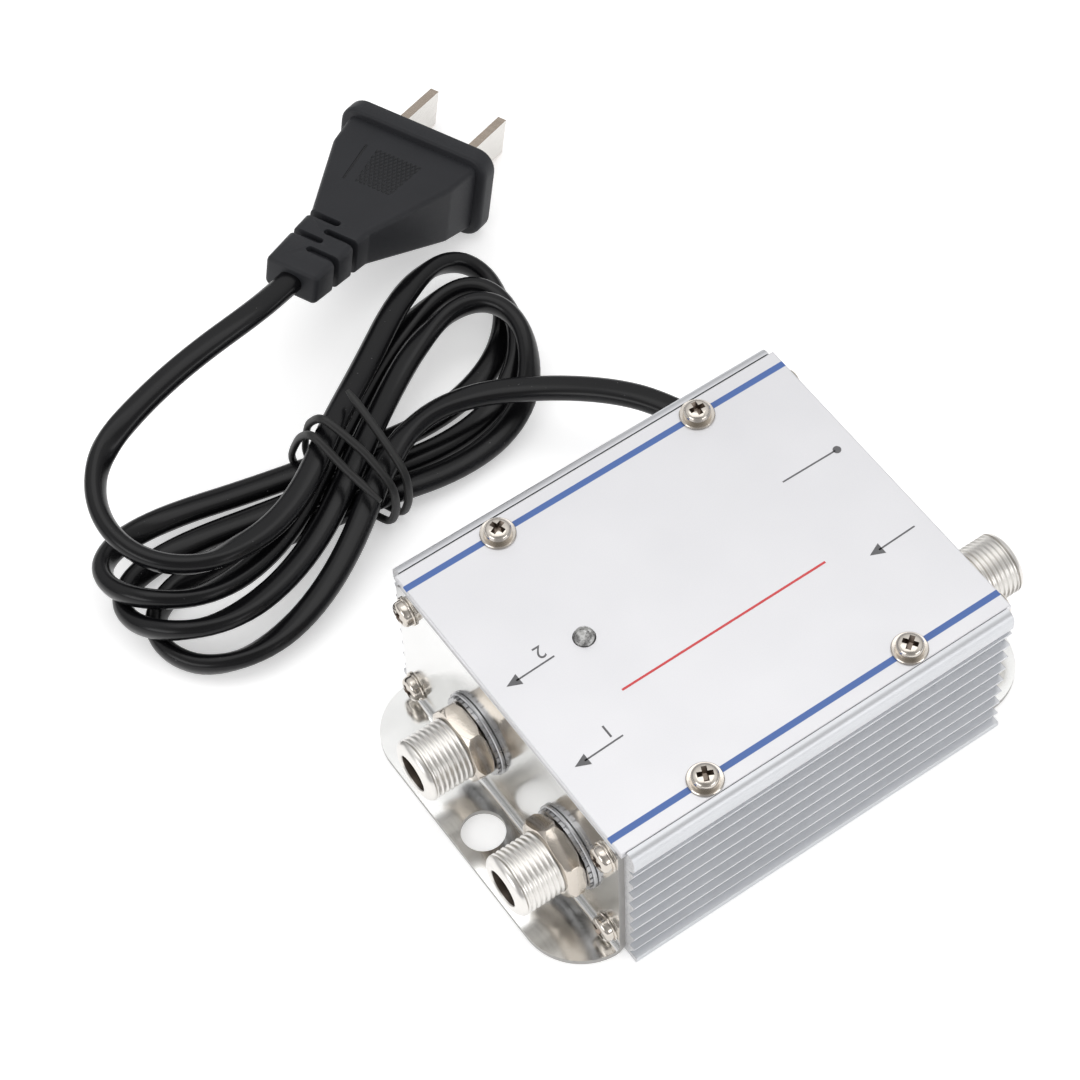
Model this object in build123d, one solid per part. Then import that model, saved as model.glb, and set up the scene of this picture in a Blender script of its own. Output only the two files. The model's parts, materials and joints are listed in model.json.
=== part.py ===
from build123d import *
import math
import os

# A television signal amplifier with one input and two outputs, in millimetres.
# X runs from the output end to the input end, the mains cord leaves on the +Y side,
# Z is up, and the origin is under the middle of the housing, on the surface it stands on.

# Driving sizes of the housing, a length of extruded aluminium
housing_length = 64.0
fin_tip_half_width = 28.5
top_z = 29.1
fin_count = 8
fin_depth = 1.2
fin_lowest_z = 3.2
fin_top_margin = 1.14
side_wall_thickness = 1.9
floor_thickness = 1.5
flange_overhang = 0.35
flange_thickness = 1.15
rail_band_height = 3.2
rail_thickness = 1.65
rail_top_land = 0.15

# Cover plate
cover_end_setback = 0.2
cover_thickness = 0.95
cover_side_gap = 0.1
cover_seat_gap = 0.05
cover_edge_rounding = 0.2

# Brackets, the bent sheets that close both ends and stand on the surface with a foot
sheet_thickness = 0.95
bracket_side_inset = 2.2
bend_radius = 0.8
foot_length = 9.15
foot_corner_run = 0.05
foot_hole_radius = 3.25
foot_hole_inset = 4.4
plate_corner_radius = 1.2

# Screws
screw_radius = 1.3
screw_hole_gap = 0.05
sheet_hole_gap = 0.15
end_screw_inset = 1.8
end_screw_drop = 4.8
end_screw_bend_gap = 0.05
end_screw_flange_radius = 2.3
cover_screw_setback = 14.8
cover_screw_inset = 2.65
screw_channel_radius = 3.0
corner_block_width = 4.1
corner_block_height = 6.95

# Circuit board, hung below the sockets' axis, and the ribs that hold it
board_drop = 4.7
board_thickness = 1.6
board_end_gap = 0.4
board_side_gap = 0.2
board_face_gap = 0.1
rib_reach = 1.6
rib_thickness = 1.2

# Sockets for the aerial leads, one axis height for all three
socket_z = 14.1
output_socket_shares = (0.272, -0.59)
input_socket_share = -0.543
socket_collar_thickness = 2.0
socket_reach = 11.3
thread_radius = 4.76
thread_root_radius = 4.27
thread_pitch = 0.794
socket_bore_radius = 2.7
socket_bore_depth = 2.0

# Cord, drawn round with the section area of the flat cord, and its hole in the housing
cord_diameter = 3.6
cord_hole_setback = 7.0
cord_hole_radius = 3.25
grommet_lip_radius = 4.0
grommet_board_gap = 0.1

# Plug
plug_length = 38.4
plug_flange_width = 26.8
plug_flange_height = 15.0
plug_flange_thickness = 3.4
blade_reach = 15.0
blade_width = 6.35
blade_thickness = 1.5
blade_spacing = 12.7
plug_yaw = 25.0
plug_cord_end_xy = (-12.7, 86.9)

# Shared clearances: parts that push into a hole, and the overrun of every cut
fit_gap = 0.05
overrun = 1.0
match_tolerance = 0.001

# Places that follow from the sizes above
half_length = housing_length / 2
fin_root_half_width = fin_tip_half_width - fin_depth
inner_half_width = fin_root_half_width - side_wall_thickness
flange_half_width = fin_tip_half_width + flange_overhang
fin_pitch = (top_z - rail_band_height - fin_top_margin - fin_lowest_z) / (fin_count - 1)
recess_half_width = fin_tip_half_width - rail_thickness
rail_corner_radius = rail_thickness - rail_top_land
plate_outer_x = half_length + sheet_thickness
cover_half_length = plate_outer_x - cover_end_setback
cover_half_width = recess_half_width - cover_side_gap
cover_seat_z = top_z - cover_thickness - cover_seat_gap
bracket_half_width = fin_tip_half_width - bracket_side_inset
foot_reach = plate_outer_x + foot_length
foot_hole_x = foot_reach - foot_hole_inset
foot_corner_radius = foot_length + foot_corner_run
end_screw_y = inner_half_width - end_screw_inset
end_screw_low_z = sheet_thickness + bend_radius + end_screw_bend_gap + end_screw_flange_radius
end_screw_high_z = top_z - end_screw_drop
cover_screw_x = half_length - cover_screw_setback
cover_screw_y = cover_half_width - cover_screw_inset
board_top_z = socket_z - board_drop
board_z = board_top_z - board_thickness
board_half_length = half_length - socket_collar_thickness - board_end_gap
board_half_width = inner_half_width - board_side_gap
output_socket_ys = [share * inner_half_width for share in output_socket_shares]
input_socket_y = input_socket_share * inner_half_width
cord_hole_x = half_length - cord_hole_setback
cord_hole_z = board_top_z + grommet_board_gap + grommet_lip_radius
screw_hole_radius = screw_radius + screw_hole_gap
sheet_hole_radius = screw_radius + sheet_hole_gap
cord_radius = cord_diameter / 2


def block(x_range, y_range, z_range):
    """A box between two values on each axis."""
    centre = [(low + high) / 2 for low, high in (x_range, y_range, z_range)]
    sides = [high - low for low, high in (x_range, y_range, z_range)]
    return Pos(*centre) * Box(*sides)


def post(radius, x, y, z_low, z_high):
    """A standing cylinder."""
    return Pos(x, y, (z_low + z_high) / 2) * Cylinder(radius, z_high - z_low)


def rod_x(radius, x_low, x_high, y, z):
    """A cylinder that lies along X."""
    return Pos((x_low + x_high) / 2, y, z) * Rot(0, 90, 0) * Cylinder(radius, x_high - x_low)


def rod_y(radius, x, y_low, y_high, z):
    """A cylinder that lies along Y."""
    return Pos(x, (y_low + y_high) / 2, z) * Rot(90, 0, 0) * Cylinder(radius, y_high - y_low)


def turned(profile):
    """A solid of revolution about Z from a list of radius and height."""
    return revolve(Plane.XZ * make_face(Polyline(*profile, close=True)), Axis.Z)


def along(shape, origin, direction, sideways):
    """Places a shape that was drawn along Z, with its X axis turned to sideways."""
    return Plane(origin=origin, x_dir=sideways, z_dir=direction).location * shape


def save(name, *shapes):
    """Writes one named piece, or a group of equal pieces, to its own file."""
    solids = [solid for shape in shapes for solid in shape.solids()]
    export_step(solids[0] if len(solids) == 1 else Compound(solids), f"parts/{name}.step")


# Housing: one outline of ledges and sloping fin faces, its cavity, ribs and screw channels
def housing_outline():
    """Half of the section, from the middle of the underside round to the middle of the floor."""
    points = [(0, 0), (flange_half_width, 0), (flange_half_width, flange_thickness)]
    points.append((fin_root_half_width, flange_thickness))
    for index in range(fin_count):
        ledge_z = fin_lowest_z + index * fin_pitch
        points += [(fin_tip_half_width, ledge_z), (fin_root_half_width, ledge_z)]
    points += [(fin_tip_half_width, top_z - rail_band_height), (fin_tip_half_width, top_z)]
    points += [(recess_half_width, top_z), (recess_half_width, cover_seat_z)]
    slot_outer = cover_screw_y + screw_hole_radius
    slot_inner = cover_screw_y - screw_hole_radius
    points += [(slot_outer, cover_seat_z), (slot_outer, end_screw_high_z)]
    points += [(slot_inner, end_screw_high_z), (slot_inner, cover_seat_z)]
    block_side = inner_half_width - corner_block_width
    block_bottom = cover_seat_z - corner_block_height
    points += [(block_side, cover_seat_z), (block_side, block_bottom), (inner_half_width, block_bottom)]
    rib_side = inner_half_width - rib_reach
    groove_top = board_top_z + board_face_gap
    groove_bottom = board_z - board_face_gap
    ribs = ((groove_top, groove_top + rib_thickness), (groove_bottom - rib_thickness, groove_bottom))
    for low, high in ribs:
        points += [(inner_half_width, high), (rib_side, high), (rib_side, low), (inner_half_width, low)]
    points += [(inner_half_width, floor_thickness), (0, floor_thickness)]
    return points


def housing():
    half = housing_outline()
    mirrored = [(-y, z) for y, z in reversed(half[1:-1])]
    section = make_face(Polyline(*half, *mirrored, close=True))
    top_corners = [corner for corner in section.vertices() if abs(corner.Y - top_z) < match_tolerance]
    rail_corners = [corner for corner in top_corners if abs(corner.X) > recess_half_width + match_tolerance]
    section = fillet(rail_corners, rail_corner_radius)
    for side in (-1, 1):
        section += Pos(side * end_screw_y, end_screw_low_z) * Circle(screw_channel_radius)
    for side in (-1, 1):
        for height in (end_screw_low_z, end_screw_high_z):
            section -= Pos(side * end_screw_y, height) * Circle(screw_hole_radius)
    body = extrude(Plane.YZ * section, amount=half_length, both=True)
    body -= rod_y(cord_hole_radius, cord_hole_x, rib_side_y(), fin_tip_half_width + overrun, cord_hole_z)
    return body - rod_y(grommet_notch_radius, cord_hole_x, rib_side_y(), inner_half_width, cord_hole_z)


def rib_side_y():
    """Where a cut has passed the ribs on the cord's side."""
    return inner_half_width - rib_reach - overrun


def top_cover():
    plate = block((-cover_half_length, cover_half_length), (-cover_half_width, cover_half_width),
                  (top_z - cover_thickness, top_z))
    plate = fillet(plate.edges().group_by(Axis.Z)[-1], cover_edge_rounding)
    for x in (-cover_screw_x, cover_screw_x):
        for y in (-cover_screw_y, cover_screw_y):
            plate -= post(sheet_hole_radius, x, y, cover_seat_z, top_z + overrun)
    return plate - post(led_radius + led_hole_gap, led_x, led_y, cover_seat_z, top_z + overrun)


# Brackets: an upright sheet with a rounded foot, drilled for the sockets, screws and wall fixing
def bracket(side, socket_ys):
    top = cover_seat_z
    outline = [
        (half_length, 0), (foot_reach, 0), (foot_reach, sheet_thickness),
        (plate_outer_x, sheet_thickness), (plate_outer_x, top), (half_length, top),
    ]
    section = Plane.XZ * make_face(Polyline(*outline, close=True))
    sheet = extrude(section, amount=bracket_half_width, both=True)

    def upright_edges(x, height):
        return [e for e in sheet.edges() if abs(e.center().X - x) < match_tolerance
                and abs(e.center().Z - height) < match_tolerance]

    sheet = fillet(upright_edges(half_length, 0), bend_radius + sheet_thickness)
    sheet = fillet(upright_edges(plate_outer_x, sheet_thickness), bend_radius)
    foot_corners = [e for e in sheet.edges().filter_by(Axis.Z)
                    if abs(e.center().X - foot_reach) < match_tolerance]
    sheet = fillet(foot_corners, foot_corner_radius)
    plate_corners = [e for e in sheet.edges().filter_by(Axis.X) if abs(e.center().Z - top) < match_tolerance]
    sheet = fillet(plate_corners, plate_corner_radius)
    sheet -= post(foot_hole_radius, foot_hole_x, 0, -overrun, sheet_thickness + overrun)
    through = (half_length - overrun, plate_outer_x + overrun)
    for y in socket_ys:
        sheet -= rod_x(thread_radius + sheet_hole_gap, *through, y, socket_z)
    for y in (-end_screw_y, end_screw_y):
        for z in (end_screw_low_z, end_screw_high_z):
            sheet -= rod_x(sheet_hole_radius, *through, y, z)
    return sheet if side > 0 else mirror(sheet, Plane.YZ)


# Screws: a shank, a pressed washer flange and a domed head with a cross recess
cover_screw_flange_radius = 2.55
screw_flange_thickness = 0.4
screw_head_radius = 1.95
screw_head_height = 1.7
screw_head_rounding = 0.8
recess_length = 2.3
recess_width = 0.62
recess_depth = 0.9
end_screw_length = 7.0
cover_screw_tip_gap = 0.2
cover_screw_length = end_screw_drop - cover_screw_tip_gap


def screw(flange_radius, length):
    """A screw along Z whose head stands on zero."""
    head = Pos(0, 0, screw_head_height / 2) * Cylinder(screw_head_radius, screw_head_height)
    head = fillet(head.edges().group_by(Axis.Z)[-1], screw_head_rounding)
    head += Pos(0, 0, screw_flange_thickness / 2) * Cylinder(flange_radius, screw_flange_thickness)
    slot = Pos(0, 0, screw_head_height) * Box(recess_length, recess_width, 2 * recess_depth)
    for angle in (0, 90):
        head -= Rot(0, 0, angle) * slot
    return head + Pos(0, 0, -length / 2) * Cylinder(screw_radius, length)


def cover_screws():
    one = screw(cover_screw_flange_radius, cover_screw_length)
    places = [(x, y) for x in (-cover_screw_x, cover_screw_x) for y in (-cover_screw_y, cover_screw_y)]
    return [Pos(x, y, top_z) * one for x, y in places]


def bracket_screws(side):
    one = screw(end_screw_flange_radius, end_screw_length)
    places = [(y, z) for y in (-end_screw_y, end_screw_y) for z in (end_screw_low_z, end_screw_high_z)]
    return [along(one, (side * plate_outer_x, y, z), (side, 0, 0), (0, 1, 0)) for y, z in places]


# Sockets: each has a threaded shell held by a nut and two washers, an insulator and a contact
socket_collar_radius = 6.25
socket_stub_radius = 3.6
socket_stub_length = 3.0
socket_nose_chamfer = 0.7
socket_mouth_chamfer = 0.35
thread_crest_width = 0.1
shank_relief = 0.2
washer_radius = 6.6
washer_thickness = 0.6
lock_washer_radius = 6.2
lock_washer_thickness = 0.5
lock_tooth_count = 14
lock_tooth_gap = 1.0
lock_tooth_depth = 0.9
nut_across_flats = 11.0
nut_thickness = 3.0
nut_corner_trim = 0.35
nut_chamfer = 0.45
insulator_radius = 2.45
contact_radius = 0.8
contact_bore_radius = 0.5
contact_bore_depth = 6.0
contact_tail = 4.0
socket_back = -sheet_thickness - socket_collar_thickness - socket_stub_length
nut_base = washer_thickness + lock_washer_thickness
thread_start = nut_base + nut_thickness


def socket_shell():
    """Turned shell whose zero is the bracket's outer face, with ring grooves for its fine thread."""
    thread_end = socket_reach - socket_nose_chamfer
    ring_count = int((thread_end - thread_start - thread_crest_width) / thread_pitch)
    first_groove = thread_end - ring_count * thread_pitch
    shank_radius = thread_radius - shank_relief
    points = [
        (insulator_radius + fit_gap, socket_back), (socket_stub_radius, socket_back),
        (socket_stub_radius, -sheet_thickness - socket_collar_thickness),
        (socket_collar_radius, -sheet_thickness - socket_collar_thickness),
        (socket_collar_radius, -sheet_thickness), (shank_radius, -sheet_thickness),
        (shank_radius, first_groove - thread_crest_width),
        (thread_radius, first_groove - thread_crest_width),
    ]
    groove_width = thread_pitch - thread_crest_width
    for index in range(ring_count):
        start = first_groove + index * thread_pitch
        points += [(thread_radius, start), (thread_root_radius, start + groove_width / 2)]
        points.append((thread_radius, start + groove_width))
    points += [(thread_radius, thread_end), (thread_radius - socket_nose_chamfer, socket_reach)]
    points += [(socket_bore_radius + socket_mouth_chamfer, socket_reach)]
    points += [(socket_bore_radius, socket_reach - socket_mouth_chamfer)]
    step_at = socket_reach - socket_bore_depth
    points += [(socket_bore_radius, step_at), (insulator_radius + fit_gap, step_at)]
    return turned(points)


def socket_washer():
    middle = Pos(0, 0, washer_thickness / 2)
    ring = middle * Cylinder(washer_radius, washer_thickness)
    return ring - middle * Cylinder(thread_radius + fit_gap, washer_thickness + overrun)


def socket_lock_washer():
    """A thin ring whose rim is notched into teeth."""
    middle = washer_thickness + lock_washer_thickness / 2
    ring = Pos(0, 0, middle) * Cylinder(lock_washer_radius, lock_washer_thickness)
    ring -= Pos(0, 0, middle) * Cylinder(thread_radius + fit_gap, lock_washer_thickness + overrun)
    cut_height = lock_washer_thickness + overrun
    notch = Pos(lock_washer_radius, 0, middle) * Box(2 * lock_tooth_depth, lock_tooth_gap, cut_height)
    for index in range(lock_tooth_count):
        ring -= Rot(0, 0, index * 360 / lock_tooth_count) * notch
    return ring


def socket_nut():
    corner_radius = nut_across_flats / 2 / math.cos(math.radians(30))
    middle = Pos(0, 0, nut_base + nut_thickness / 2)
    prism = Pos(0, 0, nut_base) * extrude(RegularPolygon(corner_radius, 6), amount=nut_thickness)
    round_blank = middle * Cylinder(corner_radius - nut_corner_trim / 2, nut_thickness)
    nut = prism & chamfer(round_blank.edges(), nut_chamfer)
    return nut - middle * Cylinder(thread_radius, nut_thickness + overrun)


def socket_insulator():
    front = socket_reach - socket_bore_depth
    plug = Pos(0, 0, (socket_back + front) / 2) * Cylinder(insulator_radius, front - socket_back)
    return plug - Pos(0, 0, front) * Cylinder(contact_radius + fit_gap, 2 * (front - socket_back) + overrun)


def socket_contact():
    front = socket_reach - socket_bore_depth
    back = socket_back - contact_tail
    pin = Pos(0, 0, (front + back) / 2) * Cylinder(contact_radius, front - back)
    return pin - Pos(0, 0, front) * Cylinder(contact_bore_radius, 2 * contact_bore_depth)


def save_sockets():
    sockets = [("first_output", -1, output_socket_ys[1]), ("second_output", -1, output_socket_ys[0])]
    sockets.append(("input", 1, input_socket_y))
    pieces = {
        "socket": socket_shell(), "washer": socket_washer(), "lock_washer": socket_lock_washer(),
        "nut": socket_nut(), "insulator": socket_insulator(), "contact": socket_contact(),
    }
    for name, side, y in sockets:
        seat = (side * plate_outer_x, y, socket_z)
        for piece, shape in pieces.items():
            save(f"{name}_{piece}", along(shape, seat, (side, 0, 0), (0, 1, 0)))


# Pilot light, a small clear dome that stands through the cover on two leads
led_place_shares = (-0.54, 0.13)
led_radius = 1.5
led_hole_gap = 0.15
led_stand = 1.6
led_collar_radius = 1.9
led_collar_thickness = 1.0
led_collar_gap = 0.1
led_lead_radius = 0.25
led_lead_spacing = 2.54
led_x = led_place_shares[0] * half_length
led_y = led_place_shares[1] * inner_half_width


def status_led():
    collar_top = cover_seat_z - led_collar_gap
    collar = post(led_collar_radius, led_x, led_y, collar_top - led_collar_thickness, collar_top)
    stem_top = top_z + led_stand - led_radius
    stem = post(led_radius, led_x, led_y, collar_top, stem_top)
    return collar + stem + Pos(led_x, led_y, stem_top) * Sphere(led_radius)


def led_leads():
    lead_top = cover_seat_z - led_collar_gap - led_collar_thickness
    return [post(led_lead_radius, led_x, led_y + shift, board_top_z, lead_top)
            for shift in (-led_lead_spacing / 2, led_lead_spacing / 2)]


# Circuit board and the sheet that keeps its solder side off the floor
sheet_insulation_thickness = 0.3
sheet_insulation_inset = 5.4


def circuit_board():
    return block((-board_half_length, board_half_length), (-board_half_width, board_half_width),
                 (board_z, board_top_z))


def insulating_sheet():
    half = inner_half_width - sheet_insulation_inset
    return block((-board_half_length, board_half_length), (-half, half),
                 (floor_thickness, floor_thickness + sheet_insulation_thickness))


# Mains transformer: a stack of core plates, a bobbin round its middle leg and the winding on it
core_place_shares = (0.473, 0.317)
core_length = 24.0
core_stack = 11.0
core_cover_gap = 2.7
core_leg = 4.0
core_yoke = 3.0
bobbin_wall = 0.6
bobbin_side_gap = 0.2
bobbin_overhang = 4.0
winding_inset = 0.5
core_height = cover_seat_z - core_cover_gap - board_top_z
core_x = core_place_shares[0] * board_half_length
core_y = core_place_shares[1] * board_half_width


def transformer():
    """Core, bobbin and winding, which nest in that order."""
    base = board_top_z
    middle_z = base + core_height / 2
    window = (core_length - 4 * core_leg) / 2
    inner_height = core_height - 2 * core_yoke
    core = Pos(core_x, core_y, middle_z) * Box(core_length, core_stack, core_height)
    for side in (-1, 1):
        shift = side * (core_leg + window / 2)
        core -= Pos(core_x + shift, core_y, middle_z) * Box(window, core_stack + overrun, inner_height)
    tube = (2 * (core_leg + bobbin_side_gap), core_stack + 2 * bobbin_side_gap)
    outer = (2 * (core_leg + window - bobbin_side_gap), core_stack + 2 * bobbin_overhang)
    centre = Pos(core_x, core_y, middle_z)
    height = inner_height - 2 * bobbin_side_gap
    flange_shift = (height - bobbin_wall) / 2
    bobbin = centre * Box(tube[0] + 2 * bobbin_wall, tube[1] + 2 * bobbin_wall, height)
    for side in (-1, 1):
        bobbin += centre * Pos(0, 0, side * flange_shift) * Box(*outer, bobbin_wall)
    bobbin -= centre * Box(*tube, height + overrun)
    winding_height = height - 2 * bobbin_wall - 2 * fit_gap
    winding = centre * Box(outer[0] - winding_inset, outer[1] - winding_inset, winding_height)
    winding = fillet(winding.edges().filter_by(Axis.Z), core_leg / 2)
    inner = (tube[0] + 2 * bobbin_wall + 2 * fit_gap, tube[1] + 2 * bobbin_wall + 2 * fit_gap)
    winding -= centre * Box(*inner, winding_height + overrun)
    return core, bobbin, winding


# Small components that stand on the board. Places are shares of its half length and half width.
filter_capacitor_place_shares = (-0.318, 0.223)
filter_capacitor_radius = 5.0
filter_capacitor_height = 12.0
capacitor_rounding = 0.8
small_capacitor_radius = 2.5
small_capacitor_height = 6.5
small_capacitor_place_shares = ((-0.042, -0.126), (0.752, -0.338), (-0.431, -0.172))
diode_radius = 1.3
diode_length = 4.4
diode_lead_radius = 0.4
diode_span = 7.6
diode_height = 1.9
diode_pitch = 4.0
diode_row_start_shares = (-0.503, 0.712)
regulator_place_shares = (-0.205, -0.675)
regulator_size = (10.0, 4.5, 9.0)
regulator_tab_thickness = 1.3
regulator_tab_drop = 1.0
regulator_hole_radius = 1.8
transistor_radius = 2.3
transistor_height = 4.8
transistor_leg_height = 2.0
transistor_leg_radius = 0.3
transistor_leg_pitch = 1.27
transistor_flat = 1.3
transistor_place_shares = ((-0.553, -0.445), (0.3, -0.725))
ring_core_outer = 3.2
ring_core_inner = 1.5
ring_core_thickness = 2.4
ring_core_place_shares = ((-0.701, -0.081), (-0.379, -0.84))
disc_radius = 2.2
disc_thickness = 1.3
disc_leg_height = 1.6
disc_place_shares = ((-0.667, -0.848), (-0.012, -0.794), (0.871, -0.846), (-0.846, 0.595))
resistor_radius = 1.0
resistor_length = 3.6
resistor_height = 1.5
resistor_span = 7.0
resistor_lead_radius = 0.3
resistor_place_shares = ((0.408, -0.536), (0.263, -0.259), (-0.775, 0.838), (-0.125, -0.332))


def on_board(shares):
    """A place on the board from its shares."""
    return shares[0] * board_half_length, shares[1] * board_half_width


def can_capacitor(radius, height, shares):
    can = post(radius, *on_board(shares), board_top_z, board_top_z + height)
    return fillet(can.edges().group_by(Axis.Z)[-1], capacitor_rounding)


def axial_component(radius, length, span, height, lead_radius):
    """A small barrel along Y on two bent leads, centred on zero, standing on zero."""
    part = rod_y(radius, 0, -length / 2, length / 2, height)
    half_span = span / 2
    lead = rod_y(lead_radius, 0, -half_span, half_span, height)
    part += lead
    for side in (-1, 1):
        part += post(lead_radius, 0, side * half_span, 0, height)
        part += Pos(0, side * half_span, height) * Sphere(lead_radius)
    return part


def rectifier_diodes():
    one = axial_component(diode_radius, diode_length, diode_span, diode_height, diode_lead_radius)
    x, y = on_board(diode_row_start_shares)
    return [Pos(x + index * diode_pitch, y, board_top_z) * one for index in range(4)]


def resistors():
    sizes = (resistor_radius, resistor_length, resistor_span, resistor_height, resistor_lead_radius)
    one = Rot(0, 0, 90) * axial_component(*sizes)
    return [Pos(*on_board(shares), board_top_z) * one for shares in resistor_place_shares]


def regulator():
    """A moulded block with a taller drilled tab behind it."""
    x, y = on_board(regulator_place_shares)
    length, depth, height = regulator_size
    body = block((x - length / 2, x + length / 2), (y, y + depth), (board_top_z, board_top_z + height))
    tab_height = core_height - regulator_tab_drop
    tab_back = y - regulator_tab_thickness
    tab = block((x - length / 2, x + length / 2), (tab_back, y), (board_top_z, board_top_z + tab_height))
    hole_z = board_top_z + (height + tab_height) / 2
    return body + tab - rod_y(regulator_hole_radius, x, tab_back - overrun, y + overrun, hole_z)


def transistors():
    """Half-round bodies on three legs."""
    shapes = []
    base = board_top_z + transistor_leg_height
    for x, y in map(on_board, transistor_place_shares):
        body = post(transistor_radius, x, y, base, base + transistor_height)
        flat_side = (y + transistor_flat, y + transistor_radius + overrun)
        body -= block((x - 2 * transistor_radius, x + 2 * transistor_radius), flat_side,
                      (base - overrun, base + transistor_height + overrun))
        for step in (-1, 0, 1):
            body += post(transistor_leg_radius, x + step * transistor_leg_pitch, y, board_top_z, base)
        shapes.append(body)
    return shapes


def splitter_cores():
    """Ferrite rings on edge, each touching the board."""
    shapes = []
    for x, y in map(on_board, ring_core_place_shares):
        ends = (y - ring_core_thickness / 2, y + ring_core_thickness / 2)
        ring = rod_y(ring_core_outer, x, *ends, board_top_z + ring_core_outer)
        bore = rod_y(ring_core_inner, x, ends[0] - overrun, ends[1] + overrun, board_top_z + ring_core_outer)
        shapes.append(ring - bore)
    return shapes


def ceramic_capacitors():
    """Upright discs on two short legs."""
    shapes = []
    centre_z = board_top_z + disc_leg_height + disc_radius
    for x, y in map(on_board, disc_place_shares):
        disc = rod_y(disc_radius, x, y - disc_thickness / 2, y + disc_thickness / 2, centre_z)
        disc = fillet(disc.edges(), disc_thickness / 4)
        for side in (-1, 1):
            disc += post(resistor_lead_radius, x + side * disc_radius / 2, y, board_top_z, centre_z)
        shapes.append(disc)
    return shapes


# Wires inside the housing
wire_radius = 0.4
wire_run = 1.6
wire_bend = 0.9
mains_wire_radius = 0.7
mains_wire_shift = 0.95
mains_wire_run = 3.6
mains_wire_bend = 1.6


def bent_wire(radius, bend, *points):
    """A round wire along straight runs joined by equal arcs."""
    path = FilletPolyline(*points, radius=bend)
    return sweep(Plane(origin=path @ 0, z_dir=path % 0) * Circle(radius), path=path)


def socket_wires():
    """From each contact's tail down to the board."""
    tail_x = plate_outer_x + socket_back - contact_tail
    shapes = []
    for side, y in [(-1, y) for y in output_socket_ys] + [(1, input_socket_y)]:
        end_x = side * (tail_x - wire_run)
        shapes.append(bent_wire(wire_radius, wire_bend, (side * tail_x, y, socket_z), (end_x, y, socket_z),
                                (end_x, y, board_top_z)))
    return shapes


def mains_wires():
    """From the grommet's inner face down to the board."""
    start_y = inner_half_width - grommet_lip_thickness
    end_y = start_y - mains_wire_run
    shapes = []
    for side in (-1, 1):
        x = cord_hole_x + side * mains_wire_shift
        shapes.append(bent_wire(mains_wire_radius, mains_wire_bend, (x, start_y, cord_hole_z),
                                (x, end_y, cord_hole_z), (x, end_y, board_top_z)))
    return shapes


# Grommet: a lip inside, a neck through the wall, a collar outside and a leaning tapered nose
grommet_lip_thickness = 1.0
grommet_collar_radius = 4.5
grommet_collar_thickness = 1.2
grommet_nose_base_radius = 3.75
grommet_nose_tip_radius = 2.8
grommet_nose_length = 7.0
grommet_lean = 24.0
grommet_notch_gap = 0.3
grommet_notch_radius = grommet_lip_radius + grommet_notch_gap
grommet_collar_y = fin_tip_half_width + grommet_collar_thickness
lean = math.radians(grommet_lean)
cord_exit_heading = (-math.sin(lean), math.cos(lean), 0)
cord_exit = (
    cord_hole_x + grommet_nose_length * cord_exit_heading[0],
    fin_tip_half_width + grommet_nose_length * cord_exit_heading[1],
    cord_hole_z,
)


def cord_grommet():
    x, z = cord_hole_x, cord_hole_z
    lip_y = inner_half_width - grommet_lip_thickness
    shape = rod_y(grommet_lip_radius, x, lip_y, inner_half_width, z)
    shape += rod_y(cord_hole_radius - fit_gap, x, lip_y, fin_tip_half_width, z)
    shape += rod_y(grommet_collar_radius, x, fin_tip_half_width, grommet_collar_y, z)
    nose_length = grommet_nose_length + grommet_collar_thickness
    nose = Pos(0, 0, grommet_nose_length - nose_length / 2) * Cone(grommet_nose_base_radius,
                                                                   grommet_nose_tip_radius, nose_length)
    nose = along(nose, (x, fin_tip_half_width, z), cord_exit_heading, (0, 0, 1))
    reach = 2 * grommet_collar_radius
    nose -= block((x - reach, x + reach), (lip_y - reach, fin_tip_half_width), (z - reach, z + reach))
    return shape + nose


# Plug: a flat moulded body with a slotted relief, drawn along Z from the cord's end.
# It rests on its flange's lower edge and its blade tips, which sets its pitch.
relief_length = 14.0
relief_end_size = (9.2, 5.4)
relief_neck_size = (10.5, 6.7)
plug_shoulder_at = 29.0
plug_shoulder_size = (21.8, 10.8)
plug_back_size = (23.4, 12.0)
plug_corner_radius = 1.3
plug_flange_corner_radius = 3.2
plug_flange_rounding = 1.0
relief_slot_width = 1.3
relief_slot_depth = 1.3
relief_slot_places = (5.3, 7.8, 10.3, 12.8)
relief_slot_past_middle = 0.6
blade_root = 8.0
blade_tip_chamfer = 0.45
plug_body_length = plug_length - plug_flange_thickness
plug_pitch = math.atan((plug_flange_height - blade_width) / 2 / blade_reach)
yaw = math.radians(plug_yaw)
plug_level_share = math.cos(plug_pitch)
plug_heading = (math.cos(yaw) * plug_level_share, math.sin(yaw) * plug_level_share, -math.sin(plug_pitch))
plug_sideways = (-math.sin(yaw), math.cos(yaw), 0)
plug_cord_end_z = plug_flange_height / 2 * plug_level_share + plug_length * math.sin(plug_pitch)
plug_cord_end = (*plug_cord_end_xy, plug_cord_end_z)


def tapered_length(low, low_size, high, high_size):
    """A straight-sided loft between two rounded rectangles."""
    sections = []
    for height, size in ((low, low_size), (high, high_size)):
        sections.append(Pos(0, 0, height) * RectangleRounded(*size, plug_corner_radius))
    return loft(sections, ruled=True)


def relief_slot(index, place):
    """A groove over one side of the relief to just past its middle, with a round inner end."""
    side = 1 if index % 2 else -1
    width, height = relief_neck_size
    past = side * relief_slot_past_middle
    slot = Pos(-past + side * width / 2, 0, place) * Box(width, 2 * height, relief_slot_width)
    slot += Pos(-past, 0, place) * Rot(90, 0, 0) * Cylinder(relief_slot_width / 2, 2 * height)
    core_size = (width - 2 * relief_slot_depth, height - 2 * relief_slot_depth)
    return slot - Pos(0, 0, place) * Box(*core_size, relief_slot_width + overrun)


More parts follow.
